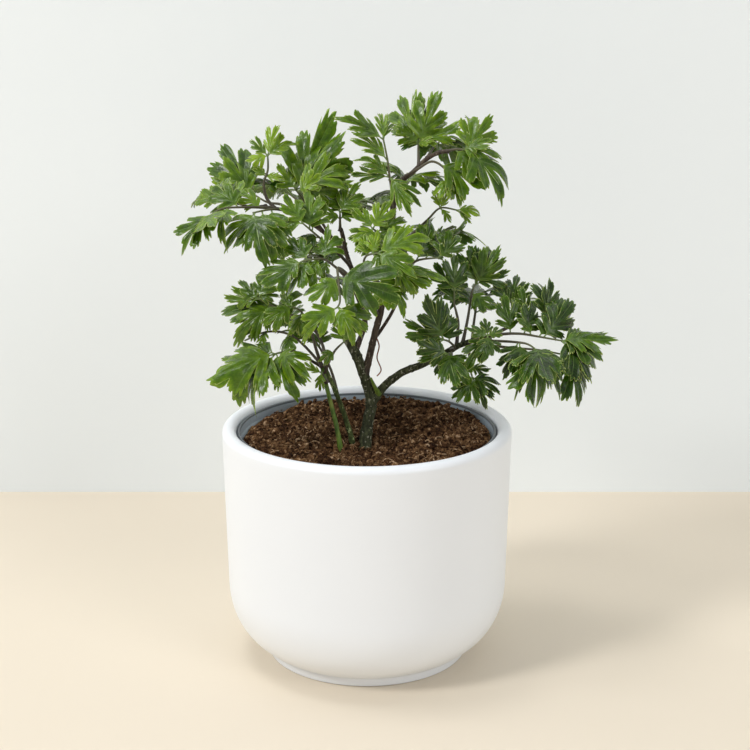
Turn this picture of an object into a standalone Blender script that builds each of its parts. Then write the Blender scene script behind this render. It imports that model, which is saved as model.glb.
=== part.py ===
"""Potted aralia: a young shrub in a plastic nursery pot that stands inside a white glazed planter.

Every length below is in millimetres, and MM turns it into Blender's metres at the last step.
The origin is the centre of the planter's flat underside and +Z is up. -Y is the plant's face:
most leaves turn their upper side that way. The pieces are the planter, the nursery pot with its
drain holes, the soil with a socket for each stem that stands in it, the woody stems, and the
compound leaves. A compound leaf grew as one piece, its stalk and all its leaflets together.
"""
import math
import random
from collections import namedtuple

import bmesh
import bpy
from mathutils import Quaternion, Vector
from mathutils.bvhtree import BVHTree

MM = 0.001
GAP = 0.3                     # air left between two pieces that touch
WELD = 1e-6                   # metres, closes caps and turned poles

# Planter: a tapering wall with a rolled rim, a round shoulder and a short straight foot
PLANTER_HEIGHT = 119.6
RIM_RADIUS = 72.3             # outer radius under the rolled rim
RIM_INNER_RADIUS = 65.3
RIM_ROLL_HEIGHT = 3.6         # height of the rolled edge
SHOULDER_RADIUS = 70.6        # outer radius where the shoulder starts
SHOULDER_HEIGHT = 40.0
SHOULDER_REACH = 45.4         # how far in the outer shoulder curve goes
SHOULDER_DROP = 41.0
SHOULDER_POWER = 2.286        # 2 is an ellipse, more is squarer
FOOT_RADIUS = 51.0
FOOT_HEIGHT = 4.4
WALL = 6.2
FLOOR_HEIGHT = 8.0
INNER_SHOULDER_REACH = 24.0
INNER_SHOULDER_POWER = 3.0
PLANTER_SEGMENTS = 48

# Nursery pot: thin plastic, standing on the planter's floor
POT_LIP_RADIUS = 64.7
POT_LIP_HEIGHT = 117.0
POT_LIP_DROP = 5.0
POT_TOP_RADIUS = 63.4
POT_FOOT_RADIUS = 44.0
POT_BASE_RADIUS = 40.0
POT_WALL = 1.4
POT_SEGMENTS = 36
DRAIN_HOLE_RADIUS = 4.0
DRAIN_HOLE_RING = 27.0
DRAIN_HOLES = 5

# Soil: its top is a shallow dish, higher at the back
SOIL_EDGE_HEIGHT = 110.8
SOIL_MIDDLE_HEIGHT = 108.4
SOIL_TOP_RINGS = (16.0, 32.0, 46.0, 57.0)
SOIL_SEGMENTS = 36
SOIL_BACK_RISE = 3.0          # how much higher the soil lies at the back of the pot

# Stems: name, bark, the stem it branches from, radii at its foot and tip, and its line
Stem = namedtuple("Stem", "name bark parent radii line")
STEMS = (
    Stem("trunk", "bark", None, (3.1, 2.4),
         ((-1, -8, 84), (-1, -8, 110), (0.5, -4, 121), (2, 0, 131), (-2, 0, 146), (-6, 1, 156), (-10, 2, 163))),
    Stem("right_branch", "bark", "trunk", (2.2, 1.1),
         ((1.4, -1.2, 129), (5, 0, 134), (10, 0, 140), (18, 0, 146), (27, -1, 150), (38, -2, 156),
          (47, -3, 161), (56, 0, 163), (64, 5, 164))),
    Stem("leader_shoot", "twig", "trunk", (1.8, 1.0),
         ((-1, 0, 145), (2, 0, 157), (4, 0, 166), (7, 0, 178), (9, 2, 195), (11, 5, 211), (13, 5, 225),
          (13, 4, 236), (17, 3, 241), (22, 1, 245), (28, 0, 251), (34, -3, 255), (39, -5, 256))),
    Stem("inner_shoot", "twig", "trunk", (1.4, 1.0),
         ((-6, 1, 156), (-3, 4, 163), (-1, 5, 171), (-4, 5, 183), (-7, 6, 195), (-10, 8, 204), (-12, 7, 214),
          (-13, 6, 217))),
    Stem("thin_shoot", "twig", "leader_shoot", (0.9, 0.7),
         ((3, 0, 162), (7, 2, 167), (12, 3, 175), (17, 3, 186), (19, 2, 196))),
    Stem("left_twig", "twig", "inner_shoot", (1.1, 0.8),
         ((-10, 8, 204), (-15, 13, 208), (-22, 15, 214), (-30, 13, 220), (-38, 9, 225), (-50, 4, 228))),
    Stem("green_side_stem", "green", None, (1.3, 1.0),
         ((-13, -14, 84), (-13, -14, 108), (-15, -11, 121), (-18, -8, 133), (-21, -8, 146), (-22, -9, 152))),
    Stem("dark_side_stem", "bark", None, (1.5, 1.1),
         ((-7, -7, 84), (-7, -7, 108), (-10, -4, 121), (-16, -3, 138), (-21, -3, 149))),
    Stem("axil_bud", "green", "right_branch", (1.3, 0.5), ((6, -1, 135), (4, -3, 139), (2, -4, 144))),
    Stem("dry_thread", "twig", "leader_shoot", (0.35, 0.3),
         ((4, 0, 165), (6, -2, 160), (5, -3, 154), (7, -3, 148), (5, -4, 145))),
)
STEM_STEPS = 2                # straight runs between two points of a stem's line
SOCKET_CLEARANCE = 0.4

# Leaves: name, the stem it grows from, the way it faces (degrees up from level, degrees from -Y
# toward +X), the line of its main stalk, and its leaflets. A leaflet is (station, right, up): the
# point of the stalk's line it grows from, and where its tip lies from there across and up. The
# depth of the tip follows from the way the leaf faces. Leaves with no list are plain feathered
# ones: pairs of leaflets along the stalk and one at its end.
Leaf = namedtuple("Leaf", "name stem facing line leaflets")
LEAVES = (
    # upper left, over the planter's edge
    Leaf("twig_end_leaf", "left_twig", (50, -30),
         ((-49, 5, 228), (-55, -2, 229), (-61, -7, 231), (-69, -12, 234)),
         ((3, -16, -1), (3, -9, 8), (2.5, -9, 9), (2, -4, 9), (2.3, -11, -5))),
    Leaf("long_left_leaf", "left_twig", (55, -30),
         ((-38, 9, 225), (-44, -2, 228), (-55, -16, 231), (-67, -26, 232), (-73, -30, 229)),
         ((4, -19, -9), (3.6, -20, -12), (3.5, -4, -14), (2.8, -3, -11), (2.4, -13, 3), (1.6, -11, 2))),
    Leaf("hanging_left_leaf", "left_twig", (45, -15),
         ((-31, 13, 220), (-36, -2, 226), (-44, -16, 230), (-53, -26, 230)),
         ((3, -15, -21), (2.8, -17, -16), (2.9, -4, -19), (2.5, 1, -18), (2.1, 2, -16))),
    Leaf("upright_left_leaf", "left_twig", (35, 0),
         ((-45, 6, 227), (-49, 8, 232), (-50, 8, 239), (-48, 9, 245), (-48, 10, 252)),
         ((4, -11, -4), (4, 5, 13), (4, 12, 6), (2.5, 9, -1), (2.5, -7, 5), (4, -8, 8))),
    Leaf("back_left_leaf", "left_twig", (40, -20),
         ((-34, 11, 223), (-42, 16, 227), (-49, 17, 228), (-56, 18, 232)),
         ((3, -18, 19), (3, -19, 9), (3, -13, 13), (2.6, -8, 7))),
    # upper middle
    Leaf("upper_middle_leaf", "left_twig", (40, 0),
         ((-22, 15, 214), (-27, 16, 222), (-31, 15, 229), (-35, 14, 235)),
         ((3, -9, 11), (3, 4, 21), (3, 7, 16), (3, 17, 28), (3, 29, 13), (3, 25, 19))),
    Leaf("upper_arching_leaf", "left_twig", (35, 10),
         ((-16, 13, 209), (-21, 8, 218), (-27, 4, 228), (-33, 2, 236)),
         ((3, 24, 8), (3, 21, 2), (2.9, 13, 4))),
    # crown
    Leaf("crown_leaf", "leader_shoot", (35, 0),
         ((12, 5, 218), (12, 1, 227), (12, 0, 236), (11, 0, 243), (10, 0, 251), (8, 0, 261)),
         ((3, -20, 1), (3, -15, 8), (4, -18, 11), (5, -23, 7), (5, -6, 11), (5, 3, 12), (3, 11, -18),
          (3, 19, -7))),
    Leaf("crown_fan_leaf", "leader_shoot", (35, 0),
         ((25, 0, 248), (25, 6, 252), (25, 12, 254), (25, 14, 257)),
         ((3, -9, 23), (3, 1, 24), (3, 8, 22), (3, 15, 18), (3, 21, 9), (3, 14, 0), (3, -10, 13), (3, -8, 4))),
    Leaf("upper_right_leaf", "leader_shoot", (35, 15),
         ((38, -5, 256), (42, -6, 257), (47, -7, 257)),
         ((2, 4, 17), (2, 14, 10), (2, 20, -23), (1, 13, -15), (1.5, 20, -5), (2, 13, 1))),
    Leaf("upper_right_low_leaf", "leader_shoot", (35, 15),
         ((19, 2, 243), (24, -3, 247), (31, -4, 251), (37, -6, 248), (39, -8, 243)),
         ((2.5, 22, -14), (4, 9, -10), (4, 10, 3), (4, 1, -11))),
    Leaf("right_sprig_leaf", "leader_shoot", (35, 15),
         ((10, 4, 206), (16, 12, 207), (21, 16, 211), (30, 14, 220), (36, 12, 226), (44, 12, 225)),
         ((5, 13, -1), (5, 9, -5), (5, 2, -6), (4, -4, 8), (4, 2, 7), (4, 5, -7))),
    Leaf("middle_leaf", "leader_shoot", (35, 5),
         ((11, 5, 211), (8, -3, 215), (5, -9, 218), (3, -12, 220)),
         ((3, -10, 9), (3, 5, 12), (3, -12, -5), (3, -9, -13), (2, 14, 6), (2, 12, -8), (2.4, -3, -15))),
    Leaf("middle_right_leaf", "thin_shoot", (30, 20),
         ((18, 2, 195), (24, 0, 202), (35, -2, 204)),
         ((2, 6, 12), (2, 12, 8), (1, 8, 18), (1.4, 14, 16))),
    # centre, toward the front
    Leaf("centre_front_leaf", "inner_shoot", (30, 0),
         ((-2, 5, 176), (-5, -6, 186), (-8, -20, 198), (-13, -36, 206), (-13, -44, 203), (-12, -50, 194),
          (-13, -52, 191)),
         ((6, 8, -14), (6, -17, -12), (6, 15, -10), (4, 31, -11), (4, -14, -12))),
    Leaf("centre_left_leaf", "inner_shoot", (45, -20),
         ((-6, 6, 190), (-12, -8, 198), (-18, -22, 206), (-22, -30, 209), (-30, -36, 209)),
         ((4, -18, -13), (4, -13, -5), (3.6, -9, 8), (3.5, -12, -15), (3, -9, -11), (2.5, -3, 12),
          (2.2, -2, -8))),
    Leaf("centre_top_left_leaf", "inner_shoot", (45, -10),
         ((-8, 7, 198), (-14, -1, 206), (-21, -10, 214), (-30, -20, 224)),
         ((3, -14, 0), (3, -15, -11), (3, -9, 9), (2.6, -1, 16), (2.5, 4, 13), (2.2, -12, -5), (2.2, 12, -6))),
    Leaf("centre_top_leaf", "inner_shoot", (40, 5),
         ((-13, 6, 216), (-13, 5, 220), (-13, 4, 225)),
         ((2, -13, 12), (2, -7, 14), (2, 3, 14), (2, 9, 8), (1.4, -10, 2), (1.4, 10, 3))),
    Leaf("centre_right_leaf", "leader_shoot", (40, 15),
         ((8, 1, 186), (4, -10, 196), (-1, -20, 204), (0, -28, 210), (5, -32, 212)),
         ((4, 26, 6), (4, 16, 1), (3.6, 8, -10), (3.5, 3, 9), (3, -2, 9), (4, 19, -10))),
    Leaf("centre_right_low_leaf", "leader_shoot", (40, 20),
         ((6, 0, 174), (3, -8, 182), (2, -14, 188), (6, -20, 198), (12, -24, 202)),
         ((4, 26, -6), (4, 18, -10), (4, 14, -7), (3, 14, -16), (3.6, 21, 1), (3, 9, -12))),
    # lower left, over the soil
    Leaf("lower_left_leaf", "dark_side_stem", (45, -20),
         ((-20, -3, 148), (-29, -8, 155), (-36, -16, 161), (-44, -22, 161)),
         ((3, -16, 2), (3, -34, -8), (3, -30, -15), (3, -19, -18), (2.9, 5, -16), (2.7, 13, -10))),
    Leaf("lower_left_tip_leaf", "dark_side_stem", (50, -30),
         ((-18, -3, 142), (-25, 2, 152), (-37, 2, 164), (-49, -2, 167), (-60, -4, 163)),
         ((4, -17, -5), (3, -4, -7), (3.3, -10, 1), (2, -3, -9))),
    Leaf("left_fan_leaf", "dark_side_stem", (35, -15),
         ((-20, -3, 146), (-22, 6, 158), (-28, 9, 167), (-39, 5, 175), (-46, 2, 179), (-53, 0, 183)),
         ((5, 8, 17), (5, -8, 9), (5, -17, 0), (4, -27, -11), (4, -19, -15), (3.5, -4, -11), (5, 10, 3),
          (3, 1, 13))),
    Leaf("left_inner_leaf", "green_side_stem", (40, -10),
         ((-22, -9, 151), (-25, -12, 162), (-27, -15, 171), (-31, -20, 181), (-35, -26, 185)),
         ((4, -15, -8), (4, -6, 5), (3.6, -10, -4), (3, 0, -10), (3, -7, -9), (2.5, 8, 2))),
    Leaf("side_stem_leaf", "green_side_stem", (35, 0),
         ((-21, -8, 148), (-16, -11, 159), (-11, -14, 165)),
         ((2, -5, 10), (2, 6, 10), (1, -8, -3))),
    Leaf("side_stem_small_leaf", "green_side_stem", (10, 0),
         ((-20, -8, 143), (-22, -13, 149), (-22, -15, 150)),
         ((2, -1, -10), (1, -9, 5))),
    # right branch
    Leaf("right_up_leaf", "right_branch", (30, 10),
         ((44, -3, 159), (45, 1, 170), (44, 2, 176), (43, 3, 180), (43, 4, 186)),
         ((4, -8, 15), (4, 3, 16), (4, 7, 7), (3, -5, 11))),
    Leaf("right_finger_leaf", "right_branch", (25, 5),
         ((47, -3, 161), (50, 6, 172), (52, 10, 184), (54, 12, 188)),
         ((3, -4, 19), (3, 1, 20), (3, 7, 18), (3, 11, 17), (3, 14, 9), (2, 11, -10))),
    Leaf("right_low_left_leaf", "right_branch", (35, -10),
         ((41, -2, 158), (43, -10, 161), (40, -14, 165), (37, -18, 167)),
         ((3, -7, 17), (3, -18, 9), (3, -16, 1), (3, -14, -5), (2, 0, 12), (3, -12, 16))),
    Leaf("right_front_leaf", "right_branch", (35, 10),
         ((51, -2, 162), (50, -9, 163), (53, -14, 166), (58, -22, 170)),
         ((3, -11, 3), (3, -3, 8), (3, 8, 2), (3, -2, -11), (2.5, -8, -13), (2.5, 9, -7))),
    Leaf("right_bottom_leaf", "right_branch", (35, -10),
         ((38, -2, 156), (41, -10, 157), (41, -16, 160), (39, -22, 161)),
         ((3, -16, 3), (3, -14, -2), (3, -9, -8), (3, 0, -11), (3, 5, -17), (2.5, 9, -13))),
    Leaf("right_drooping_leaf", "right_branch", (35, -5),
         ((50, -1.5, 162), (50, -10, 158), (50, -17, 153), (51, -21, 149)),
         ((3, -9, -9), (3, -3, -14), (3, 5, -13), (3, 11, -8), (2, -11, -3), (2, 10, -2))),
    Leaf("right_upright_leaf", "right_branch", (25, 10),
         ((63, 5, 164), (70, 10, 166), (73, 12, 168), (72, 14, 178)),
         ((3, -11, 10), (3, -3, 16), (3, 4, 15), (3, 9, 8), (3, 8, -3))),
    Leaf("right_far_leaf", "right_branch", (30, 30),
         ((61, 3, 164), (70, 4, 168), (79, 8, 172), (87, 9, 172)),
         ((3, 3, 16), (3, 7, 15), (3, 13, 11), (3, 15, 3), (3, 20, -2), (2, 1, 12))),
    Leaf("right_tip_leaf", "right_branch", (45, 35),
         ((58, 1, 163), (66, -3, 166), (75, -6, 167), (84, -8, 166), (95, -8, 164)),
         ((4, 20, -2), (4, 26, -5), (4, 24, -10), (4, 19, -13), (4, 14, -17), (3, 10, 8), (3.2, 18, 5),
          (2.2, 4, 12), (1.5, 2, 12), (2.6, -7, 10))),
    Leaf("right_hanging_leaf", "right_branch", (40, 20),
         ((54, -1, 163), (60, -8, 164), (70, -14, 165), (77, -18, 165), (81, -20, 163)),
         ((4, 14, -11), (4, 9, -15), (4, 17, -18), (3.9, -6, -24), (4, 2, -24), (2.5, 0, -19), (2.4, -8, -14))),
    Leaf("right_low_tip_leaf", "right_branch", (40, 30),
         ((53, -1, 162), (60, 3, 159), (73, 1, 158), (85, 1, 157), (97, 4, 154)),
         ((4, 15, -13), (4, 9, -22), (4, 3, -14), (4, 12, -8))),
    # back of the plant
    Leaf("rear_upper_left_leaf", "left_twig", (62, 175),
         ((-26, 14, 217), (-31, 24, 224), (-39, 37, 229), (-45, 47, 230)), ()),
    Leaf("rear_crown_leaf", "leader_shoot", (58, 170),
         ((29, 0, 252), (31, 9, 254), (34, 22, 256), (36, 33, 254)), ()),
    Leaf("rear_upper_leaf", "leader_shoot", (60, 160),
         ((13, 5, 228), (16, 14, 232), (19, 28, 237), (20, 42, 237)), ()),
    Leaf("rear_middle_leaf", "leader_shoot", (60, 190),
         ((11, 5, 212), (8, 16, 219), (4, 32, 224), (0, 47, 224)), ()),
    Leaf("rear_right_leaf", "leader_shoot", (62, 150),
         ((9, 2, 195), (14, 12, 200), (24, 26, 205), (34, 39, 206)), ()),
    Leaf("rear_left_leaf", "inner_shoot", (60, 200),
         ((-4, 5, 183), (-10, 15, 190), (-21, 29, 197), (-34, 40, 199)), ()),
    Leaf("rear_low_leaf", "trunk", (58, 185),
         ((-8, 2, 160), (-8, 10, 169), (-11, 24, 178), (-12, 40, 181)), ()),
    Leaf("rear_branch_leaf", "right_branch", (60, 170),
         ((52, -1, 162), (53, 9, 167), (55, 22, 174), (56, 36, 176)), ()),
    Leaf("rear_low_left_leaf", "dark_side_stem", (60, 205),
         ((-14, -3, 132), (-18, 7, 145), (-27, 19, 158), (-39, 29, 165)), ()),
)
STALK_RADII = (0.75, 0.55)
FEATHER_STATIONS = (3, 2.4, 1.7)
FEATHER_LENGTHS = (25, 24, 21)
FEATHER_SPREAD = 58           # degrees between the stalk and a side leaflet

# Leaflets
BLADE_THICKNESS = 0.6
BLADE_STATIONS = (0.012, 0.58, 1.0)       # along the midrib, as a share of the length
BLADE_HALF_WIDTHS = (0.0, 0.36, 0.07)     # at those stations, as a share of the length
BLADE_FOOT_HALF_WIDTH = 0.5               # where the leaflet leaves the stalk
BLADE_RAKE = 0.25             # the side lobes point forward
BLADE_ARCH = 0.08             # rise of the midrib, as a share of the length
SIDE_DROOP = 0.35             # how far the side lobes hang, as a share of their reach
CLEARANCE = 0.5               # around a leaflet while it grows
FACING_SCATTER = 0.22
SHORTEST_LEAFLET = 7.5
GROWTH_TURNS = ((0, 0), (0, 8), (0, -8), (8, 0), (-8, 0), (8, 12), (-8, 12), (8, -12), (-8, -12),
                (0, 20), (0, -20), (18, 6), (-18, 6), (18, -8), (-18, -8), (0, 32), (0, -32),
                (26, 18), (-26, 18), (26, -18), (-26, -18))
GROWTH_SIZES = (1.0, 0.86, 0.74, 0.62)

# Finish of each kind of piece: colour, roughness
FINISHES = {
    "glaze": ((0.86, 0.86, 0.84), 0.25),
    "pot_plastic": ((0.25, 0.31, 0.36), 0.45),
    "peat": ((0.075, 0.038, 0.02), 0.95),
    "bark": ((0.10, 0.11, 0.07), 0.85),
    "twig": ((0.07, 0.045, 0.035), 0.7),
    "green": ((0.10, 0.22, 0.04), 0.55),
    "leaf": ((0.045, 0.15, 0.02), 0.4),
}


# ---------------------------------------------------------------- scene and materials

def clear_scene():
    for item in list(bpy.data.objects):
        bpy.data.objects.remove(item, do_unlink=True)


def new_collection(name):
    collection = bpy.data.collections.new(name)
    bpy.context.scene.collection.children.link(collection)
    return collection


def material(kind):
    if kind in bpy.data.materials:
        return bpy.data.materials[kind]
    colour, roughness = FINISHES[kind]
    finish = bpy.data.materials.new(kind)
    finish.use_nodes = True
    shader = finish.node_tree.nodes["Principled BSDF"]
    shader.inputs["Base Color"].default_value = (*colour, 1.0)
    shader.inputs["Roughness"].default_value = roughness
    shader.inputs["Metallic"].default_value = 0.0
    return finish


def evaluated_mesh(item):
    """The object's mesh with its modifiers applied and its loose caps and poles welded."""
    bpy.context.view_layer.update()
    graph = bpy.context.evaluated_depsgraph_get()
    mesh = bpy.data.meshes.new_from_object(item.evaluated_get(graph), depsgraph=graph)
    bm = bmesh.new()
    bm.from_mesh(mesh)
    bmesh.ops.remove_doubles(bm, verts=bm.verts, dist=WELD)
    bm.to_mesh(mesh)
    bm.free()
    return mesh


def add_object(name, data, collection, kind=None):
    item = bpy.data.objects.new(name, data)
    collection.objects.link(item)
    if kind:
        data.materials.clear()
        data.materials.append(material(kind))
    return item


def remove_object(item):
    bpy.data.objects.remove(item, do_unlink=True)


def add_boolean(item, operation, cutter):
    """A Boolean with one object, or with every object of a collection."""
    step = item.modifiers.new(operation.lower(), "BOOLEAN")
    step.operation = operation
    step.solver = "EXACT"
    if isinstance(cutter, bpy.types.Collection):
        step.operand_type = "COLLECTION"
        step.collection = cutter
    else:
        step.object = cutter


def hide_as_guide(item):
    item.hide_render = True
    item.display_type = "WIRE"


def smooth_round(mesh, degrees=35):
    mesh.shade_smooth()
    mesh.set_sharp_from_angle(angle=math.radians(degrees))


# ---------------------------------------------------------------- lines and tubes

def on_line(line, station):
    """Catmull-Rom curve through the line's points; a whole station is one of them."""
    last = len(line) - 1
    index = min(int(station), last - 1)
    t = station - index
    before, start, end, after = (Vector(line[min(max(index + k, 0), last)]) for k in (-1, 0, 1, 2))
    return 0.5 * (2 * start + (end - before) * t
                  + (2 * before - 5 * start + 4 * end - after) * t ** 2
                  + (3 * start - before - 3 * end + after) * t ** 3)


def on_stalk(line, station):
    """Point of a leaf's stalk, which runs straight from each point of its line to the next."""
    index = min(int(station), len(line) - 2)
    return Vector(line[index]).lerp(Vector(line[index + 1]), station - index)


def line_points(line, steps):
    """Points of the curve with the given number of straight runs between two of the line's own."""
    return [on_line(line, k / steps) for k in range(steps * (len(line) - 1) + 1)]


def tube_mesh(points, radii, resolution):
    """A capped tube along the points, as a mesh; its radius goes evenly from radii[0] to radii[1]."""
    curve = bpy.data.curves.new("line", "CURVE")
    curve.dimensions = "3D"
    curve.bevel_depth = 1.0
    curve.bevel_resolution = resolution
    curve.use_fill_caps = True
    spline = curve.splines.new("POLY")
    spline.points.add(len(points) - 1)
    for index, point in enumerate(points):
        share = index / (len(points) - 1)
        spline.points[index].co = (*(point * MM), 1.0)
        spline.points[index].radius = (radii[0] + (radii[1] - radii[0]) * share) * MM
    guide = bpy.data.objects.new("line", curve)
    bpy.context.scene.collection.objects.link(guide)
    mesh = evaluated_mesh(guide)
    remove_object(guide)
    bpy.data.curves.remove(curve)
    return mesh


def mesh_tree(mesh):
    """A search tree of the mesh's faces, in millimetres."""
    points = [vertex.co / MM for vertex in mesh.vertices]
    return BVHTree.FromPolygons(points, [face.vertices[:] for face in mesh.polygons])


# ---------------------------------------------------------------- planter, nursery pot, soil

def turned_object(name, profile, segments, collection, kind):
    """A profile of (radius, height) turned about Z; it runs from the axis out and down to the axis."""
    mesh = bpy.data.meshes.new(name)
    points = [(radius * MM, 0.0, height * MM) for radius, height in profile]
    mesh.from_pydata(points, [(k, k + 1) for k in range(len(points) - 1)], [])
    item = add_object(name, mesh, collection, kind)
    turn = item.modifiers.new("turn", "SCREW")
    turn.axis = "Z"
    turn.angle = math.tau
    turn.steps = segments
    turn.render_steps = segments
    turn.use_merge_vertices = True
    turn.merge_threshold = 0.00001
    turn.use_smooth_shade = True
    return item


def shoulder_curve(radius, reach, height, drop, power, angles):
    """Points of r = radius - reach + reach cos(a)^(2/power), z = height - drop sin(a)^(2/power)."""
    points = []
    for angle in angles:
        cosine = max(math.cos(math.radians(angle)), 0.0)
        points.append((radius - reach + reach * cosine ** (2 / power),
                       height - drop * math.sin(math.radians(angle)) ** (2 / power)))
    return points


def rim_arc(inner, outer, top, drop, steps=5):
    """Half an ellipse over the wall, from its inner side to its outer side."""
    middle = (inner + outer) / 2
    half = (outer - inner) / 2
    return [(middle - half * math.cos(math.pi * k / steps), top - drop + drop * math.sin(math.pi * k / steps))
            for k in range(steps + 1)]


def build_planter(collection):
    inner = shoulder_curve(SHOULDER_RADIUS - WALL, INNER_SHOULDER_REACH, SHOULDER_HEIGHT,
                           SHOULDER_HEIGHT - FLOOR_HEIGHT, INNER_SHOULDER_POWER, (90, 66, 40, 16, 0))
    outer = [point for point in shoulder_curve(SHOULDER_RADIUS, SHOULDER_REACH, SHOULDER_HEIGHT, SHOULDER_DROP,
                                               SHOULDER_POWER, (0, 12, 26, 40, 52))
             if point[0] > FOOT_RADIUS]
    profile = ([(0.0, FLOOR_HEIGHT)] + inner
               + rim_arc(RIM_INNER_RADIUS, RIM_RADIUS, PLANTER_HEIGHT, RIM_ROLL_HEIGHT)
               + outer
               + [(FOOT_RADIUS, FOOT_HEIGHT), (FOOT_RADIUS, 0.6), (FOOT_RADIUS - 0.6, 0.0), (0.0, 0.0)])
    return turned_object("planter", profile, PLANTER_SEGMENTS, collection, "glaze")


def build_nursery_pot(collection, cutters):
    base = FLOOR_HEIGHT + GAP
    lip_foot = POT_LIP_HEIGHT - POT_LIP_DROP
    profile = [(0.0, base + POT_WALL), (POT_BASE_RADIUS - 0.6, base + POT_WALL),
               (POT_FOOT_RADIUS - POT_WALL, base + 3.8), (POT_TOP_RADIUS - POT_WALL, lip_foot - 1.0),
               (POT_LIP_RADIUS - POT_WALL, lip_foot), (POT_LIP_RADIUS - POT_WALL, POT_LIP_HEIGHT),
               (POT_LIP_RADIUS, POT_LIP_HEIGHT), (POT_LIP_RADIUS, lip_foot),
               (POT_TOP_RADIUS, lip_foot - 1.0), (POT_FOOT_RADIUS, base + 2.8),
               (POT_BASE_RADIUS, base), (0.0, base)]
    pot = turned_object("nursery_pot", profile, POT_SEGMENTS, collection, "pot_plastic")
    for index in range(DRAIN_HOLES):
        bm = bmesh.new()
        bmesh.ops.create_cone(bm, cap_ends=True, segments=12, radius1=DRAIN_HOLE_RADIUS * MM,
                              radius2=DRAIN_HOLE_RADIUS * MM, depth=6 * MM)
        mesh = bpy.data.meshes.new("drain_hole")
        bm.to_mesh(mesh)
        bm.free()
        hole = add_object(f"drain_hole_{index + 1}", mesh, cutters)
        angle = math.tau * (index + 0.5) / DRAIN_HOLES
        hole.location = (DRAIN_HOLE_RING * math.cos(angle) * MM, DRAIN_HOLE_RING * math.sin(angle) * MM, base * MM)
        hide_as_guide(hole)
        add_boolean(pot, "DIFFERENCE", hole)
    return pot


def soil_relief(radius, angle):
    """Height of the soil above its level at this radius: broad swells, heaped up toward the back."""
    share = radius / POT_TOP_RADIUS
    return share * (1.1 * math.cos(angle - 0.7) + 0.7 * math.sin(2 * angle + 0.6)) \
        + 0.5 * share * math.sin(5 * angle + 3 * share) + SOIL_BACK_RISE * share * (0.5 + 0.5 * math.sin(angle))


def build_soil(collection):
    side = GAP + POT_WALL
    floor = FLOOR_HEIGHT + 2 * GAP + POT_WALL
    edge = POT_TOP_RADIUS - side
    rings = [(radius, SOIL_MIDDLE_HEIGHT + (SOIL_EDGE_HEIGHT - SOIL_MIDDLE_HEIGHT) * (radius / edge) ** 2)
             for radius in SOIL_TOP_RINGS]
    profile = ([(0.0, SOIL_MIDDLE_HEIGHT)] + rings
               + [(edge - 0.8, SOIL_EDGE_HEIGHT - 1.6), (edge - 1.5, SOIL_EDGE_HEIGHT - 5.0),
                  (POT_FOOT_RADIUS - side, floor + 2.6), (POT_BASE_RADIUS - 1.4, floor), (0.0, floor)])
    blank = turned_object("soil_blank", profile, SOIL_SEGMENTS, collection, "peat")
    mesh = evaluated_mesh(blank)
    remove_object(blank)
    for vertex in mesh.vertices:
        radius = math.hypot(vertex.co.x, vertex.co.y) / MM
        if vertex.co.z / MM > SOIL_MIDDLE_HEIGHT - 2 and radius < edge - 1:
            vertex.co.z += soil_relief(radius, math.atan2(vertex.co.y, vertex.co.x)) * MM
    return add_object("soil", mesh, collection, "peat")


# ---------------------------------------------------------------- stems

def build_stems(collection, cutters):
    """Each stem as a tube, cut back where it meets the stem it grew from; also a thicker one for cutting."""
    stems = {}
    sleeves = {}
    for stem in STEMS:
        points = line_points(stem.line, STEM_STEPS)
        resolution = 2 if stem.radii[0] > 2.0 else 1
        item = add_object(stem.name, tube_mesh(points, stem.radii, resolution), collection, stem.bark)
        smooth_round(item.data, 60)
        wide = [radius + SOCKET_CLEARANCE for radius in stem.radii]
        ends = [points[0] + (points[0] - points[1]).normalized() * SOCKET_CLEARANCE, *points,
                points[-1] + (points[-1] - points[-2]).normalized() * SOCKET_CLEARANCE]
        sleeve = add_object(f"{stem.name}_sleeve", tube_mesh(ends, wide, resolution), cutters)
        hide_as_guide(sleeve)
        if stem.parent:
            add_boolean(item, "DIFFERENCE", sleeves[stem.parent])
        stems[stem.name] = item
        sleeves[stem.name] = sleeve
    return stems, sleeves


# ---------------------------------------------------------------- how leaves grow

Pose = namedtuple("Pose", "base tip facing")


def facing_vector(facing):
    up, turn = (math.radians(angle) for angle in facing)
    return Vector((math.sin(turn) * math.cos(up), -math.cos(turn) * math.cos(up), math.sin(up)))


def listed_leaflets(leaf):
    """Base and tip of each listed leaflet; the tip lies in the plane that the leaf faces out of."""
    normal = facing_vector(leaf.facing)
    for station, right, up in leaf.leaflets:
        base = on_stalk(leaf.line, station)
        depth = -(right * normal.x + up * normal.z) / normal.y
        yield base, base + Vector((right, depth, up))


def feathered_leaflets(leaf):
    """Base and tip of a feathered leaf's leaflets: one at the end, then pairs down the stalk."""
    normal = facing_vector(leaf.facing)
    for place, (station, length) in enumerate(zip(FEATHER_STATIONS, FEATHER_LENGTHS)):
        base = on_stalk(leaf.line, station)
        along = (base - on_stalk(leaf.line, station - 0.1)).normalized()
        turns = (0, FEATHER_SPREAD, -FEATHER_SPREAD) if place == 0 else (FEATHER_SPREAD, -FEATHER_SPREAD)
        for turn in turns:
            way = Quaternion(normal, math.radians(turn)) @ along
            yield base, base + length * (way - 0.25 * normal).normalized()


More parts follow.
